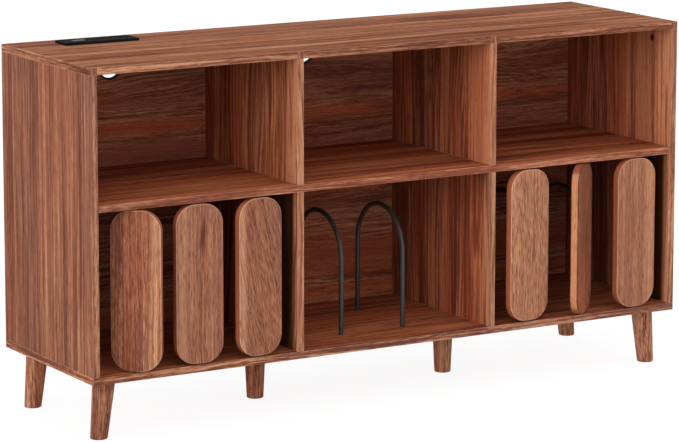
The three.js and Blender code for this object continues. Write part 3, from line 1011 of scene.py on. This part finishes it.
@dataclass
class Carcass:
    """Boards of the cabinet, with banded edges and fine arrises."""

    arris: float = 0.0005
    uprights: tuple[float, ...] = (-0.6925, -0.2308333, 0.2308333, 0.6925)
    boards: tuple[Board, ...] = (
        Board("top_panel", Grain.ALONG_X, Figure(1.0, 0.008, 1.1, 1.8, -0.03, 0.08, (0.0, 0.6), (
            Mark((0.0, 0.15, -0.1), (0.05, 0.060, 1.6), Tone.PURPLE, 0.45),
            Mark((0.0, -0.17, 0.1), (0.05, 0.020, 0.9), Tone.RUST, 0.30)),
            edge_lift=-0.21, edge_line=0.9, gloss=0.0)),
        Board("bottom_panel", Grain.ALONG_X, Figure(2.0, 0.010, 1.4, 2.8, 0.16, 0.45, (0.9, 0.0),
                                                    edge_line=0.8, stroke=1.4)),
        Board("middle_shelf", Grain.ALONG_X, Figure(3.0, 0.010, 2.2, 1.9, 0.03, 0.5, (0.9, 0.9),
                                                    edge_line=1.2, stroke=0.9)),
        Board("left_side", Grain.ALONG_Z, Figure(4.0, 0.005, 0.7, 1.5, -0.20, 0.15, (0.0, 0.7),
                                                 deep=UPRIGHT_PAINTED_LIGHT, edge_lift=-0.08)),
        # Right side: painted light along the inner face's front edge with a second painted streak of light,
        # painted shade to the rear and the slats' painted shadow in the lower bay.
        Board("right_side", Grain.ALONG_Z, Figure(5.0, 0.012, 1.5, 2.2, 0.14, 0.45, (0.7, 0.0), (
            PAINTED_FRONT_LIGHT, Mark((0.0, -0.160, 0.16), (0.09, 0.007, 0.30), Tone.AMBER, 0.55)),
            PaintedLightAndShade(0.25, -0.62, 0.95, 0.029), edge_lift=-0.22)),
        *(Board(node, Grain.ALONG_Z, Figure(seed, 0.016, 2.2, 2.5, 0.04, 0.45, (0.7, 0.7),
                                            (PAINTED_FRONT_LIGHT,), deep))
          for node, seed, deep in (("upper_divider_left", 6.0, UPRIGHT_PAINTED_LIGHT),
                                   ("upper_divider_right", 7.0, UPRIGHT_PAINTED_LIGHT),
                                   ("lower_divider_left", 8.0, PAINTED_SLAT_SHADOW),
                                   ("lower_divider_right", 9.0, UPRIGHT_PAINTED_LIGHT))),
    )
    back: Board = Board("back_panel", Grain.ALONG_X, Figure(
        11.0, 0.030, 1.3, 2.0, -0.03, 0.75, (0.35, 0.35), (
            streak(-0.060, 0.0, 0.045, ENDLESS, Tone.PURPLE, 0.60, depth=0.05),
            streak(-0.175, 0.2, 0.030, 0.9, Tone.PURPLE, 0.35, depth=0.05),
            streak(-0.119, 0.0, 0.024, ENDLESS, Tone.RUST, 0.80, depth=0.05),
            streak(-0.096, 0.0, 0.005, ENDLESS, Tone.DARK, 0.55, depth=0.05),
            streak(0.050, 0.0, 0.026, ENDLESS, Tone.RUST, 0.50, depth=0.05),
            streak(0.278, 0.0, 0.024, ENDLESS, Tone.RUST, 0.85, depth=0.05)), fine=1.3, stroke=1.3))

    def finish(self, board: Board) -> bpy.types.Material:
        """Writes a board's own walnut.

        Args:
            board: The board.

        Returns:
            Its material.
        """
        low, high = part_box(board.node)
        half = (high - low) / 2
        halves = (half.x, half.y, half.z) if board.grain is Grain.ALONG_Z else (half.z, half.y, half.x)
        hidden = board is self.back
        return Walnut(f"walnut_{board.node}", tuple((low + high) / 2), board.grain.value, board.figure,
                      None if hidden else halves, plain_rear=hidden,
                      uprights=self.uprights if board.node == "top_panel" else ()).made()

    def build(self) -> list[bpy.types.Object]:
        """Builds the boards and dresses the back panel.

        Returns:
            The pieces.
        """
        made = [installed(f"veneered_{board.node}", board_copy(board.node, self.arris), CABINET,
                          self.finish(board), board.node) for board in self.boards]
        return [*made, coated(self.back.node, self.finish(self.back))]


@dataclass
class CableHoles:
    """Plastic rings in the back panel's cable holes."""

    names: tuple[str, ...] = ("left", "middle", "right")
    bore_radius: float = 0.0238
    tube_radius: float = 0.0252
    flange: float = 0.0012
    soft_share: float = 0.45
    soft_steps: int = 4
    sides: int = 72
    plastic: Coating = Coating("ring_plastic", shade(28, 17, 17), shade(42, 30, 28), 0.6, specular=0.2)

    def skin(self, node: str) -> Skin:
        """Turns one ring.

        Args:
            node: Its CAD node.

        Returns:
            The ring, with a rounded flange at the front.
        """
        low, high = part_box(node)
        outer = (high.x - low.x) / 2
        length = high.y - low.y
        soft = self.flange * self.soft_share
        angle = quarter(self.soft_steps)
        rim = np.column_stack([outer - soft + soft * np.cos(angle), length - soft + soft * np.sin(angle)])
        lip = np.column_stack([self.bore_radius + soft - soft * np.sin(angle),
                               length - soft + soft * np.cos(angle)])
        tube = np.array([[self.bore_radius, 0.0], [self.tube_radius, 0.0],
                         [self.tube_radius, length - self.flange], [outer, length - self.flange]])
        ring = lathed(np.concatenate([tube, rim, lip]), self.sides, closed=True)
        middle = (low + high) / 2
        return ring.moved((middle.x, high.y, middle.z), STANDING)

    def build(self) -> list[bpy.types.Object]:
        """Builds the rings.

        Returns:
            The pieces.
        """
        plastic = self.plastic.made()
        nodes = [f"cable_grommet_{name}" for name in self.names]
        return [installed(f"cable_ring_{name}", self.skin(node).mesh(node + "_turned"), CABINET,
                          plastic, node) for name, node in zip(self.names, nodes)]


@dataclass
class CamFittings:
    """Cams in the side boards' inner faces, and the dowels that they hold."""

    places: tuple[str, ...] = ("left_front", "left_rear", "right_front", "right_rear")
    slot_length: float = 0.0072
    slot_width: float = 0.002
    slot_depth: float = 0.0025
    slot_corner: float = 0.0004
    slot_corner_steps: int = 4
    slot_arris: float = 0.0002
    slot_arris_steps: int = 2
    dish: float = 0.0007
    dish_shares: Pair = (0.80, 0.74)
    chamfer: float = 0.0004
    pole: float = 0.0005
    sides: int = 56
    zinc: Coating = Coating("zinc_dowel", shade(74, 66, 62), shade(50, 44, 42), 0.5, 1.0)
    bronze: Coating = Coating("bronze_cam", shade(78, 32, 23), shade(60, 27, 20), 0.6, 0.3, specular=0.1)

    def skin_and_cutters(self, node: str) -> tuple[Skin, list[Skin]]:
        """Turns one cam and the two arms of its cross slot.

        Args:
            node: Its CAD node.

        Returns:
            The cam and the cutters of its slot.
        """
        low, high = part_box(node)
        radius, depth = (high.z - low.z) / 2, high.x - low.x
        edge, floor = self.chamfer, depth - self.dish
        mouth, foot = (radius * share for share in self.dish_shares)
        profile = np.array([[self.pole, 0.0], [radius - edge, 0.0], [radius, edge],
                            [radius, depth - edge], [radius - edge, depth], [mouth, depth],
                            [foot, floor], [self.pole, floor]])
        arm = plate_profile(self.slot_depth + 2 * self.dish, self.slot_arris, self.slot_arris_steps)
        arms = [framed(*size, self.slot_corner, arm, self.slot_corner_steps)
                for size in ((self.slot_length, self.slot_width), (self.slot_width, self.slot_length))]
        cutters = [skin.moved((0.0, 0.0, floor - self.slot_depth)) for skin in arms]
        inward = -1.0 if low.x > 0 else 1.0
        lay = np.array([[0.0, 0.0, inward], [0.0, 1.0, 0.0], [-inward, 0.0, 0.0]])
        middle = (low + high) / 2
        shift = (high.x if inward < 0 else low.x, middle.y, middle.z)
        return (lathed(profile, self.sides).moved(shift, lay), [c.moved(shift, lay) for c in cutters])

    def build(self) -> list[bpy.types.Object]:
        """Builds the cams and dresses the dowels.

        Returns:
            The pieces.
        """
        zinc, bronze = self.zinc.made(), self.bronze.made()
        made = []
        for place in self.places:
            node = f"cam_lock_{place}"
            blank, cutters = self.skin_and_cutters(node)
            mesh = carved(blank, cutters, node + "_cut")
            made.append(installed(f"cam_{place}", mesh, CABINET, bronze, node))
            made.append(coated(f"cam_dowel_{place}", zinc))
        return made


@dataclass
class Legs:
    """Six tapered legs with softened feet. The four at the corners lean outwards."""

    names: tuple[str, ...] = ("front_left", "front_right", "rear_left", "rear_right",
                              "middle_left", "middle_right")
    height: float = 0.12
    top_radius: float = 0.023
    foot_radius: float = 0.0175
    splay: float = 0.0125
    bore_radius: float = 0.0043
    bore_depth: float = 0.026
    bore_gap: float = 0.0003
    bore_pole: float = 0.0004
    foot_pole: float = 0.0005
    foot_soft: float = 0.0022
    top_soft: float = 0.0005
    soft_steps: int = 5
    shank_margin: float = 0.01
    shank_rows: int = 9
    sides: int = 64
    middle_lift: float = 0.06
    figure: Figure = Figure(20.0, 0.010, 1.6, 2.0, 0.0, 0.55, fleck=0.45, stroke=1.7)
    steel: Coating = Coating("zinc_stud", shade(158, 159, 161), shade(104, 101, 97), 0.36, 1.0)

    def lean(self, name: str) -> float:
        """Gives how far a leg's foot stands outwards of its top."""
        side = 1.0 if name.endswith("right") else -1.0
        return 0.0 if name.startswith("middle") else side * self.splay

    def skin(self, name: str) -> Skin:
        """Turns one leg about its leaning centre line.

        Ring i is an ellipse in a level plane: (centre(z) + r cos t / cos(lean), r sin t), where r
        goes straight from the foot's radius to the top's and the feet and tops are rounded off.

        Args:
            name: The leg's name.

        Returns:
            The surface, with the stud's bore in its top.
        """
        low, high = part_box(f"leg_{name}")
        top = high.z
        lean = self.lean(name)
        tilt = math.hypot(self.height, lean) / self.height
        reach = self.top_radius * tilt
        centre = low.x + reach if lean > 0 else high.x - reach
        soft, fine = self.foot_soft, self.top_soft
        angle = quarter(self.soft_steps)
        foot = np.column_stack([soft * (1 - np.sin(angle)), soft * (1 - np.cos(angle))])
        shank = np.column_stack([np.zeros(self.shank_rows),
                                 np.linspace(self.shank_margin, top - self.shank_margin, self.shank_rows)])
        head = np.column_stack([fine * (1 - np.cos(angle)), top - fine + fine * np.sin(angle)])
        inset, level = np.concatenate([foot, shank, head]).T
        radius = self.foot_radius + (self.top_radius - self.foot_radius) * level / self.height - inset
        floor = self.height - self.bore_depth - self.bore_gap
        bore = np.array([[self.bore_radius, top], [self.bore_radius, floor], [self.bore_pole, floor]])
        radius = np.concatenate([[self.foot_pole], radius, bore[:, 0]])[:, None]
        level = np.concatenate([[0.0], level, bore[:, 1]])[:, None]
        turn = np.arange(self.sides) / self.sides * FULL_TURN
        x = centre + lean * (1 - level / self.height) + radius * tilt * np.cos(turn)
        y = (low.y + high.y) / 2 + radius * np.sin(turn)
        return carried(np.stack([x, y, level + np.zeros(self.sides)], axis=-1))

    def build(self) -> list[bpy.types.Object]:
        """Builds the legs and dresses their studs.

        Returns:
            The pieces.
        """
        steel = self.steel.made()
        made = []
        for number, name in enumerate(self.names):
            node = f"leg_{name}"
            lift = self.middle_lift if name.startswith("middle") else self.figure.lift
            figure = replace(self.figure, seed=self.figure.seed + number, lift=lift)
            walnut = Walnut(f"walnut_{node}", middle_of(node), Grain.ALONG_Z.value, figure).made()
            made.append(installed(f"turned_{node}", self.skin(name).mesh(node + "_turned"), CABINET,
                                  walnut, node))
            made.append(coated(f"leg_stud_{name}", steel))
        return made


def middle_of(node: str) -> Triple:
    """Gives the middle of a node's box."""
    low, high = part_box(node)
    return tuple((low + high) / 2)


@dataclass(frozen=True)
class SlatLook:
    """How one slat stands and what its grain shows."""

    degrees: float
    lift: float
    red: float
    wave: float
    band: float
    marks: tuple[Mark, ...] = ()
    slant: float = 0.0
    line: float = 0.8
    stroke: float = 0.9
    rim: Rim = Rim()


@dataclass
class SlatRow:
    """Six turning slats on their pivot pins."""

    width: float = 0.102
    thickness: float = 0.018
    corner: float = 0.041
    corner_steps: int = 28
    arris: float = 0.002
    arris_steps: int = 6
    bore_radius: float = 0.0033
    bore_depth: float = 0.0243
    bore_sides: int = 32
    over: float = 0.004
    pin_radius: float = 0.003
    pin_soft: float = 0.0004
    pin_sides: int = 40
    pole: float = 0.0004
    collar_radius: float = 0.008
    seat: float = 0.0003
    board_reach: float = 0.0087
    slat_reach: float = 0.024
    steel: Coating = Coating("dark_steel_pin", shade(66, 63, 61), shade(96, 92, 88), 0.5, 1.0)
    figure: Figure = Figure(40.0, 0.0, 0.0, 0.0, fleck=0.40, strokes=Layer.SLAT_STROKES, fine=1.7)
    looks: tuple[SlatLook, ...] = (
        SlatLook(-40.0, -0.19, 0.30, 0.010, 0.9,
                 (streak(0.041, 0.0, 0.022, ENDLESS, Tone.AMBER, 0.75, 0.03),
                  streak(-0.048, 0.0, 0.018, ENDLESS, Tone.DARK, 0.45),
                  streak(0.008, -0.10, 0.012, 0.07, Tone.PURPLE, 0.50)), line=1.2, stroke=1.5),
        SlatLook(-4.0, -0.07, 0.25, 0.008, 0.5,
                 (streak(0.014, 0.060, 0.014, 0.080, Tone.RUST, 0.20),
                  streak(0.020, -0.03, 0.012, 0.10, Tone.PURPLE, 0.45),
                  streak(-0.040, 0.0, 0.018, ENDLESS, Tone.AMBER, 0.40),
                  streak(0.007, 0.096, 0.0105, 0.055, Tone.DARK, 1.0, 0.05)), stroke=1.0),
        SlatLook(5.0, -0.09, 0.20, 0.026, 0.2,
                 (streak(0.020, 0.04, 0.004, 0.070, Tone.DARK, 0.40, -0.10),
                  streak(-0.044, 0.0, 0.014, ENDLESS, Tone.AMBER, 0.70, 0.22),
                  streak(0.0, 0.09, 0.030, 0.05, Tone.PURPLE, 0.30)), slant=-0.22, line=0.3, stroke=1.3),
        SlatLook(6.0, 0.10, 0.12, 0.005, 0.1, line=0.5, stroke=1.5),
        SlatLook(39.0, -0.28, 0.6, 0.012, 1.0,
                 (streak(0.0, 0.0, 0.060, ENDLESS, Tone.RUST, 0.30),
                  streak(0.011, 0.012, 0.010, 0.070, Tone.DARK, 0.80, 0.05),
                  streak(0.032, -0.06, 0.015, 0.090, Tone.PURPLE, 0.50)), line=1.1, stroke=1.6,
                 # Slat 5 turns its sides to the light: painted light on them, painted shade at their ends and
                 # along the arrises.
                 rim=Rim(shade(194, 132, 95), 0.90, 0.0066, shade(90, 46, 32), 0.85, 0.141)),
        SlatLook(4.0, 0.02, 0.20, 0.006, 0.25,
                 (streak(-0.024, 0.0, 0.020, ENDLESS, Tone.PURPLE, 0.40),
                  streak(0.036, 0.0, 0.020, ENDLESS, Tone.AMBER, 0.45)), line=0.4, stroke=0.6),
    )

    def slat_mesh(self, node: str, turn: float) -> bpy.types.Mesh:
        """Carves one slat.

        Args:
            node: Its CAD node.
            turn: The angle at which it stands.

        Returns:
            The mesh, in its place.
        """
        low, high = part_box(node)
        height = high.z - low.z
        edge = plate_profile(self.thickness, self.arris, self.arris_steps)
        blank = framed(self.width, height, self.corner, edge, self.corner_steps)
        blank = blank.moved((0.0, 0.0, -self.thickness / 2)).moved(turn=STANDING)
        length = self.bore_depth + self.over
        bore = lathed(np.array([[self.pole, 0.0], [self.bore_radius, 0.0],
                                [self.bore_radius, length], [self.pole, length]]), self.bore_sides)
        cutters = [bore.moved((0.0, 0.0, place))
                   for place in (-height / 2 - self.over, height / 2 - self.bore_depth)]
        mesh = settle(carved(blank, cutters, node + "_carved"))
        mesh.transform(Matrix.Translation(middle_of(node)) @ Matrix.Rotation(turn, 4, "Z"))
        return mesh

    def pin_skin(self, node: str) -> Skin:
        """Turns one pin, with a collar where its box is wider than the pin.

        Args:
            node: Its CAD node.

        Returns:
            The pin, in its place.
        """
        low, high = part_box(node)
        r, c, soft, pole = self.pin_radius, self.collar_radius, self.pin_soft, self.pole
        length = high.z - low.z
        collar = []
        if (high.x - low.x) / 2 > r + soft:
            foot, head = self.board_reach, length - self.slat_reach - self.seat
            collar = [[r, foot], [c - soft, foot], [c, foot + soft], [c, head - soft], [c - soft, head],
                      [r, head]]
        rows = [[pole, 0.0], [r - soft, 0.0], [r, soft], *collar, [r, length - soft],
                [r - soft, length], [pole, length]]
        x, y, _ = middle_of(node)
        return lathed(np.array(rows), self.pin_sides).moved((x, y, low.z))

    def walnut(self, number: int, look: SlatLook) -> bpy.types.Material:
        """Writes one slat's own walnut.

        Args:
            number: The slat's number.
            look: How it stands and what its grain shows.

        Returns:
            Its material.
        """
        figure = replace(self.figure, seed=self.figure.seed + number, wave=look.wave, band=look.band,
                         line=look.line, lift=look.lift, red=look.red, marks=look.marks,
                         stroke=look.stroke)
        face = self.thickness / 2
        return Walnut(f"walnut_slat_{number}", middle_of(f"slat_{number}"),
                      (0.0, look.slant, math.radians(look.degrees)), figure, rim=look.rim,
                      arrises=(face - self.arris, face)).made()

    def build(self) -> list[bpy.types.Object]:
        """Builds the slats and their pins.

        Returns:
            The pieces.
        """
        steel = self.steel.made()
        made = []
        for number, look in enumerate(self.looks, start=1):
            body = f"slat_{number}"
            mesh = self.slat_mesh(body, math.radians(look.degrees))
            made.append(installed(f"turning_{body}", mesh, body, self.walnut(number, look), body))
            for end in ("lower", "upper"):
                node = f"{end}_pin_{number}"
                mesh = self.pin_skin(node).mesh(node + "_turned")
                made.append(installed(f"pivot_{end}_{number}", mesh, body, steel, node))
        return made


@dataclass
class RecordArches:
    """Black rods bent into arches that part the records."""

    count: int = 4
    rod: float = 0.005
    bend_steps: int = 64
    straight_steps: int = 6
    sides: int = 28
    soft: float = 0.0007
    paint: Coating = Coating("matt_black_paint", shade(40, 39, 38), shade(70, 67, 63), 0.46, grain=900.0,
                             bump=Bump(0.12, 0.0001))

    def line(self, low: Vector, high: Vector) -> tuple[np.ndarray, np.ndarray]:
        """Draws an arch's centre line: straight up, round a half circle and straight down.

        The half circle's point is (middle - R cos t, spring + R sin t), with its direction
        (sin t, cos t), as t goes from 0 to a half turn.

        Args:
            low: Lowest corner of its box.
            high: Highest corner of its box.

        Returns:
            Points (y, z) and their unit directions.
        """
        front, rear = low.y + self.rod, high.y - self.rod
        bend = (rear - front) / 2
        spring = high.z - self.rod - bend
        rise = np.linspace(low.z, spring, self.straight_steps, endpoint=False)
        angle = np.linspace(0.0, math.pi, self.bend_steps + 1)
        up = np.column_stack([np.full(len(rise), front), rise])
        crown = np.column_stack([front + bend * (1 - np.cos(angle)), spring + bend * np.sin(angle)])
        down = np.column_stack([np.full(len(rise), rear), rise[::-1]])
        facing_up = np.tile((0.0, 1.0), (len(rise), 1))
        facing_crown = np.column_stack([np.sin(angle), np.cos(angle)])
        return (np.concatenate([up, crown, down]),
                np.concatenate([facing_up, facing_crown, -facing_up]))

    def skin(self, node: str) -> Skin:
        """Carries a circle along the centre line: point + r (cos t across + sin t outward).

        Args:
            node: The arch's CAD node.

        Returns:
            The rod.
        """
        low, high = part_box(node)
        points, facing = self.line(low, high)
        radius = np.full(len(points), self.rod)
        ends = np.array([self.rod - self.soft, self.rod])
        tip = points[:1] + facing[:1] * np.array([[0.0], [self.soft]])
        tail = points[-1:] - facing[-1:] * np.array([[self.soft], [0.0]])
        points = np.concatenate([tip, points[1:-1], tail])
        facing = np.concatenate([facing[:1], facing[:1], facing[1:-1], facing[-1:], facing[-1:]])
        radius = np.concatenate([ends, radius[1:-1], ends[::-1]])[:, None]
        turn = np.arange(self.sides) / self.sides * FULL_TURN
        outward = np.stack([-facing[:, 1], facing[:, 0]], axis=-1)
        x = (low.x + high.x) / 2 + radius * np.cos(turn)
        y = points[:, :1] + radius * np.sin(turn) * outward[:, :1]
        z = points[:, 1:] + radius * np.sin(turn) * outward[:, 1:]
        # Seen from the tail the points go clockwise, so each ring is read backwards.
        return carried(np.stack([x, y, z], axis=-1)[:, ::-1])

    def build(self) -> list[bpy.types.Object]:
        """Builds the arches.

        Returns:
            The pieces.
        """
        paint = self.paint.made()
        nodes = [f"record_arch_{number}" for number in range(1, self.count + 1)]
        return [installed(f"bent_{node}", self.skin(node).mesh(node + "_bent"), CABINET,
                          paint, node) for node in nodes]


@dataclass
class PowerStrip:
    """Power strip let into the top: housing, two mains sockets and a charging socket."""

    rim: float = 0.004
    rise: float = 0.0052
    corner: float = 0.005
    corner_steps: int = 8
    arris: float = 0.001
    arris_steps: int = 5
    foot_arris: float = 0.0008
    pocket_depth: float = 0.0143
    pocket_gap: float = 0.0003
    insert_corner: float = 0.002
    insert_corner_steps: int = 6
    insert_arris: float = 0.0005
    insert_arris_steps: int = 3
    contact_depth: float = 0.0085
    blade: Pair = (0.0022, 0.008)
    blade_corner: float = 0.0003
    blade_offset: float = 0.0063
    blade_row: float = 0.004
    earth_radius: float = 0.00235
    earth_offset: float = 0.008
    port: Pair = (0.0125, 0.0051)
    port_corner: float = 0.0006
    port_pitch: float = 0.014
    tongue: Pair = (0.011, 0.0018)
    tongue_corner: float = 0.0003
    tongue_corner_steps: int = 3
    tongue_arris: float = 0.0002
    tongue_arris_steps: int = 2
    tongue_root: float = 0.001
    tongue_recess: float = 0.0005
    flare: float = 0.0003
    over: float = 0.004
    hole_steps: int = 5
    # Depths under the sockets' face between which the painted shade in the holes fades in.
    hole_shade_depths: Pair = (0.005, 0.0008)
    black: Coating = Coating("strip_plastic", shade(25, 24, 23), shade(44, 42, 40), 0.7, grain=1900.0,
                             specular=0.01, bump=Bump(0.25, 0.0001))
    grey: Coating = Coating("charging_plastic", shade(118, 114, 116), shade(140, 136, 136), 0.7,
                            grain=1900.0, specular=0.03, bump=Bump(0.2, 0.0001))
    sockets: tuple[str, ...] = ("usb_socket", "mains_socket_1", "mains_socket_2")

    def hole(self, size: Pair, corner: float, depth: float) -> Skin:
        """Makes the cutter of a hole whose mouth is at height 0, with a flared edge.

        Args:
            size: The hole's sizes along X and Y.
            corner: Radius of its corners.
            depth: Its depth.

        Returns:
            The cutter.
        """
        profile = np.array([(0.0, -depth), (0.0, -self.flare), (-self.flare, 0.0), (-self.flare, self.over)])
        return framed(*size, corner, profile, self.hole_steps)

    def housing(self) -> bpy.types.Mesh:
        """Carves the housing: a body with a thin rim, and a pocket for each socket.

        Returns:
            The mesh, in its place.
        """
        low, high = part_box("power_strip_housing")
        shelf = high.z - self.rise
        angle = quarter(self.arris_steps)
        body = np.array([(self.rim + self.foot_arris, low.z), (self.rim, low.z + self.foot_arris),
                         (self.rim, shelf), (0.0, shelf)])
        top = np.column_stack([self.arris * (1 - np.cos(angle)), high.z - self.arris * (1 - np.sin(angle))])
        x, y, _ = middle_of("power_strip_housing")
        blank = framed(high.x - low.x, high.y - low.y, self.corner, np.concatenate([body, top]),
                       self.corner_steps).moved((x, y, 0.0))
        cutters = []
        for socket in self.sockets:
            start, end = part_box(socket)
            size = (end.x - start.x + 2 * self.pocket_gap, end.y - start.y + 2 * self.pocket_gap)
            cutter = self.hole(size, self.insert_corner + self.pocket_gap, self.pocket_depth)
            cutters.append(cutter.moved(((start.x + end.x) / 2, (start.y + end.y) / 2, high.z)))
        return carved(blank, cutters, "strip_housing_carved")

    def insert(self, node: str, holes: Sequence[Skin], extras: Sequence[Skin] = ()) -> bpy.types.Mesh:
        """Carves one socket insert.

        Args:
            node: Its CAD node.
            holes: Its holes' cutters, about the middle of its face.
            extras: What stands in the holes, about the middle of its face.

        Returns:
            The mesh, in its place.
        """
        low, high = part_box(node)
        thickness = high.z - low.z
        edge = plate_profile(thickness, self.insert_arris, self.insert_arris_steps)
        blank = framed(high.x - low.x, high.y - low.y, self.insert_corner, edge, self.insert_corner_steps)
        mesh = carved(blank.moved((0.0, 0.0, -thickness)), holes, node + "_carved")
        shape = bmesh.new()
        shape.from_mesh(mesh)
        for extra in extras:
            shape.from_mesh(extra.mesh(node + "_extra"))
        shape.to_mesh(mesh)
        shape.free()
        x, y, _ = middle_of(node)
        mesh.transform(Matrix.Translation((x, y, high.z)))
        return mesh

    def mains_holes(self) -> list[Skin]:
        """Makes the cutters of a mains socket: two blades and an earth.

        Returns:
            The cutters.
        """
        blade = self.hole(self.blade, self.blade_corner, self.contact_depth)
        earth = self.hole((2 * self.earth_radius,) * 2, self.earth_radius, self.contact_depth)
        return [blade.moved((-self.blade_offset, self.blade_row, 0.0)),
                blade.moved((self.blade_offset, self.blade_row, 0.0)),
                earth.moved((0.0, -self.earth_offset, 0.0))]

    def charging_parts(self) -> tuple[list[Skin], list[Skin]]:
        """Makes the cutters of the charging ports and the contact tongues in them.

        Returns:
            The cutters and the tongues.
        """
        places = (-self.port_pitch / 2, self.port_pitch / 2)
        well = self.hole(self.port, self.port_corner, self.contact_depth)
        length = self.contact_depth - self.tongue_recess + self.tongue_root
        edge = plate_profile(length, self.tongue_arris, self.tongue_arris_steps)
        bar = framed(*self.tongue, self.tongue_corner, edge, self.tongue_corner_steps)
        foot = -self.contact_depth - self.tongue_root
        return ([well.moved((x, 0.0, 0.0)) for x in places], [bar.moved((x, 0.0, foot)) for x in places])

    def plastic(self, finish: Coating) -> bpy.types.Material:
        """Writes one of the strip's plastics, with painted shade in its holes.

        Args:
            finish: The plastic.

        Returns:
            Its material.
        """
        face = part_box("mains_socket_1")[1].z
        deep = tuple(face - depth for depth in self.hole_shade_depths)
        return replace(finish, hole_shade=deep).made()

    def build(self) -> list[bpy.types.Object]:
        """Builds the strip.

        Returns:
            The pieces.
        """
        black, grey = self.plastic(self.black), self.plastic(self.grey)
        made = [installed("strip_housing", self.housing(), CABINET, black,
                          "power_strip_housing")]
        for node in self.sockets[1:]:
            mesh = self.insert(node, self.mains_holes())
            made.append(installed(f"strip_{node}", mesh, CABINET, black, node))
        mesh = self.insert("usb_socket", *self.charging_parts())
        made.append(installed("strip_charging_socket", mesh, CABINET, grey, "usb_socket"))
        return made


@dataclass(frozen=True)
class SoftLight:
    """A wide soft light in the sky, brightest where it comes from."""

    way: Triple
    strength: float


@dataclass
class Studio:
    """Pale floor, soft light and the photograph's camera."""

    dome: float = 0.12
    spread: float = 4.0
    floor_reach: float = 60.0
    floor_shades: tuple[Colour, Colour] = (shade(228, 228, 228), shade(232, 232, 232))
    floor_white: float = 0.80
    floor_glow: float = 1.11
    lights: tuple[SoftLight, ...] = (
        SoftLight((-0.95, -0.30, 0.0), 4.3),
        SoftLight((0.70, -0.70, 0.2), 2.1),
        SoftLight((-0.60, -0.60, 0.8), 0.8),
        SoftLight((0.30, 0.90, 0.3), 2.2),
    )
    eye: Triple = (-3.5698, -5.9913, 1.6799)
    yaw: float = 31.128
    pitch: float = 9.213
    roll: float = 0.131
    lens: float = 179.1
    sensor: float = 36.0
    sight: float = 200.0
    shift: Pair = (-0.0476, -0.136)

    def seen_directly(self, recipe: Recipe) -> Signal:
        """Tells rays from the camera, from gloss and through glass from the others.

        Args:
            recipe: The recipe that asks.

        Returns:
            1 for those rays, else 0.
        """
        path = recipe.make("ShaderNodeLightPath")
        rays = [recipe.out(path, key) for key in ("Is Camera Ray", "Is Glossy Ray", "Is Transmission Ray")]
        return recipe.sum("MAXIMUM", rays[0], recipe.sum("MAXIMUM", rays[1], rays[2]))

    def floor(self) -> None:
        """Lays the floor: a wide pale sheet that keeps the cabinet's soft shadow."""
        recipe = Recipe(bpy.data.materials.new("pale_floor"))
        tint = recipe.layer(recipe.place(), Layer.FLOOR)
        colour = recipe.mix(tint, *self.floor_shades)
        matt = recipe.out(recipe.make("ShaderNodeBsdfDiffuse", None, {"Color": colour}))
        glow = recipe.out(recipe.make("ShaderNodeEmission", None, {"Strength": self.floor_glow}))
        share = self.seen_directly(recipe) * self.floor_white
        mixed = recipe.out(recipe.make("ShaderNodeMixShader", None, {0: share, 1: matt, 2: glow}))
        recipe.make("ShaderNodeOutputMaterial", None, {"Surface": mixed})
        reach = self.floor_reach
        corners = np.array([[-reach, -reach, 0.0], [reach, -reach, 0.0], [reach, reach, 0.0],
                            [-reach, reach, 0.0]])
        sheet = bpy.data.objects.new("floor", Skin(corners, [(0, 1, 2, 3)]).mesh("floor_sheet"))
        sheet.data.materials.append(recipe.owner)
        bpy.context.scene.collection.objects.link(sheet)

    def sky(self) -> None:
        """Sets soft lights in a dim sky, which the camera sees as plain white."""
        world = bpy.data.worlds.new("studio_white")
        recipe = Recipe(world)
        way = recipe.out(recipe.make("ShaderNodeTexCoord"), "Generated")
        total = self.dome
        for light in self.lights:
            facing = recipe.vector("DOT_PRODUCT", way, Vector(light.way).normalized(), "Value")
            lobe = recipe.sum("POWER", recipe.sum("MAXIMUM", facing, 0.0), self.spread)
            total = lobe * light.strength + total
        lit, seen = (recipe.out(recipe.make("ShaderNodeBackground", None,
                                            {"Color": (1.0, 1.0, 1.0, 1.0), "Strength": strength}))
                     for strength in (total, 1.0))
        share = self.seen_directly(recipe)
        mixed = recipe.out(recipe.make("ShaderNodeMixShader", None, {0: share, 1: lit, 2: seen}))
        recipe.make("ShaderNodeOutputWorld", None, {"Surface": mixed})
        bpy.context.scene.world = world

    def camera(self) -> None:
        """Sets the camera where the photograph was taken from."""
        yaw, pitch, roll = (math.radians(angle) for angle in (self.yaw, self.pitch, self.roll))
        ahead = Vector((math.sin(yaw) * math.cos(pitch), math.cos(yaw) * math.cos(pitch), -math.sin(pitch)))
        level = Vector((math.cos(yaw), -math.sin(yaw), 0.0))
        above = level.cross(ahead)
        right = level * math.cos(roll) + above * math.sin(roll)
        upward = above * math.cos(roll) - level * math.sin(roll)
        data = bpy.data.cameras.new("photo_camera")
        data.sensor_width = self.sensor
        data.lens = self.lens
        data.shift_x, data.shift_y = self.shift
        data.clip_end = self.sight
        thing = bpy.data.objects.new("photo_camera", data)
        facing = Matrix((right, upward, -ahead)).transposed().to_4x4()
        thing.matrix_world = Matrix.Translation(self.eye) @ facing
        bpy.context.scene.collection.objects.link(thing)
        bpy.context.scene.camera = thing

    def build(self) -> None:
        """Sets up the studio."""
        self.floor()
        self.sky()
        self.camera()
        bpy.context.scene.view_settings.view_transform = "Standard"


def main() -> None:
    """Builds every sub-assembly in order, and reports each piece."""
    logging.basicConfig(level=logging.INFO, format="%(name)s %(message)s")
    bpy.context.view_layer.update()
    for assembly in (Carcass(), CableHoles(), CamFittings(), Legs(), SlatRow(), RecordArches(), PowerStrip()):
        for piece in assembly.build():
            LOG.info("%s: %s, %d faces", type(assembly).__name__, piece.name, len(piece.data.polygons))
    Studio().build()


if __name__ == "__main__":
    main()
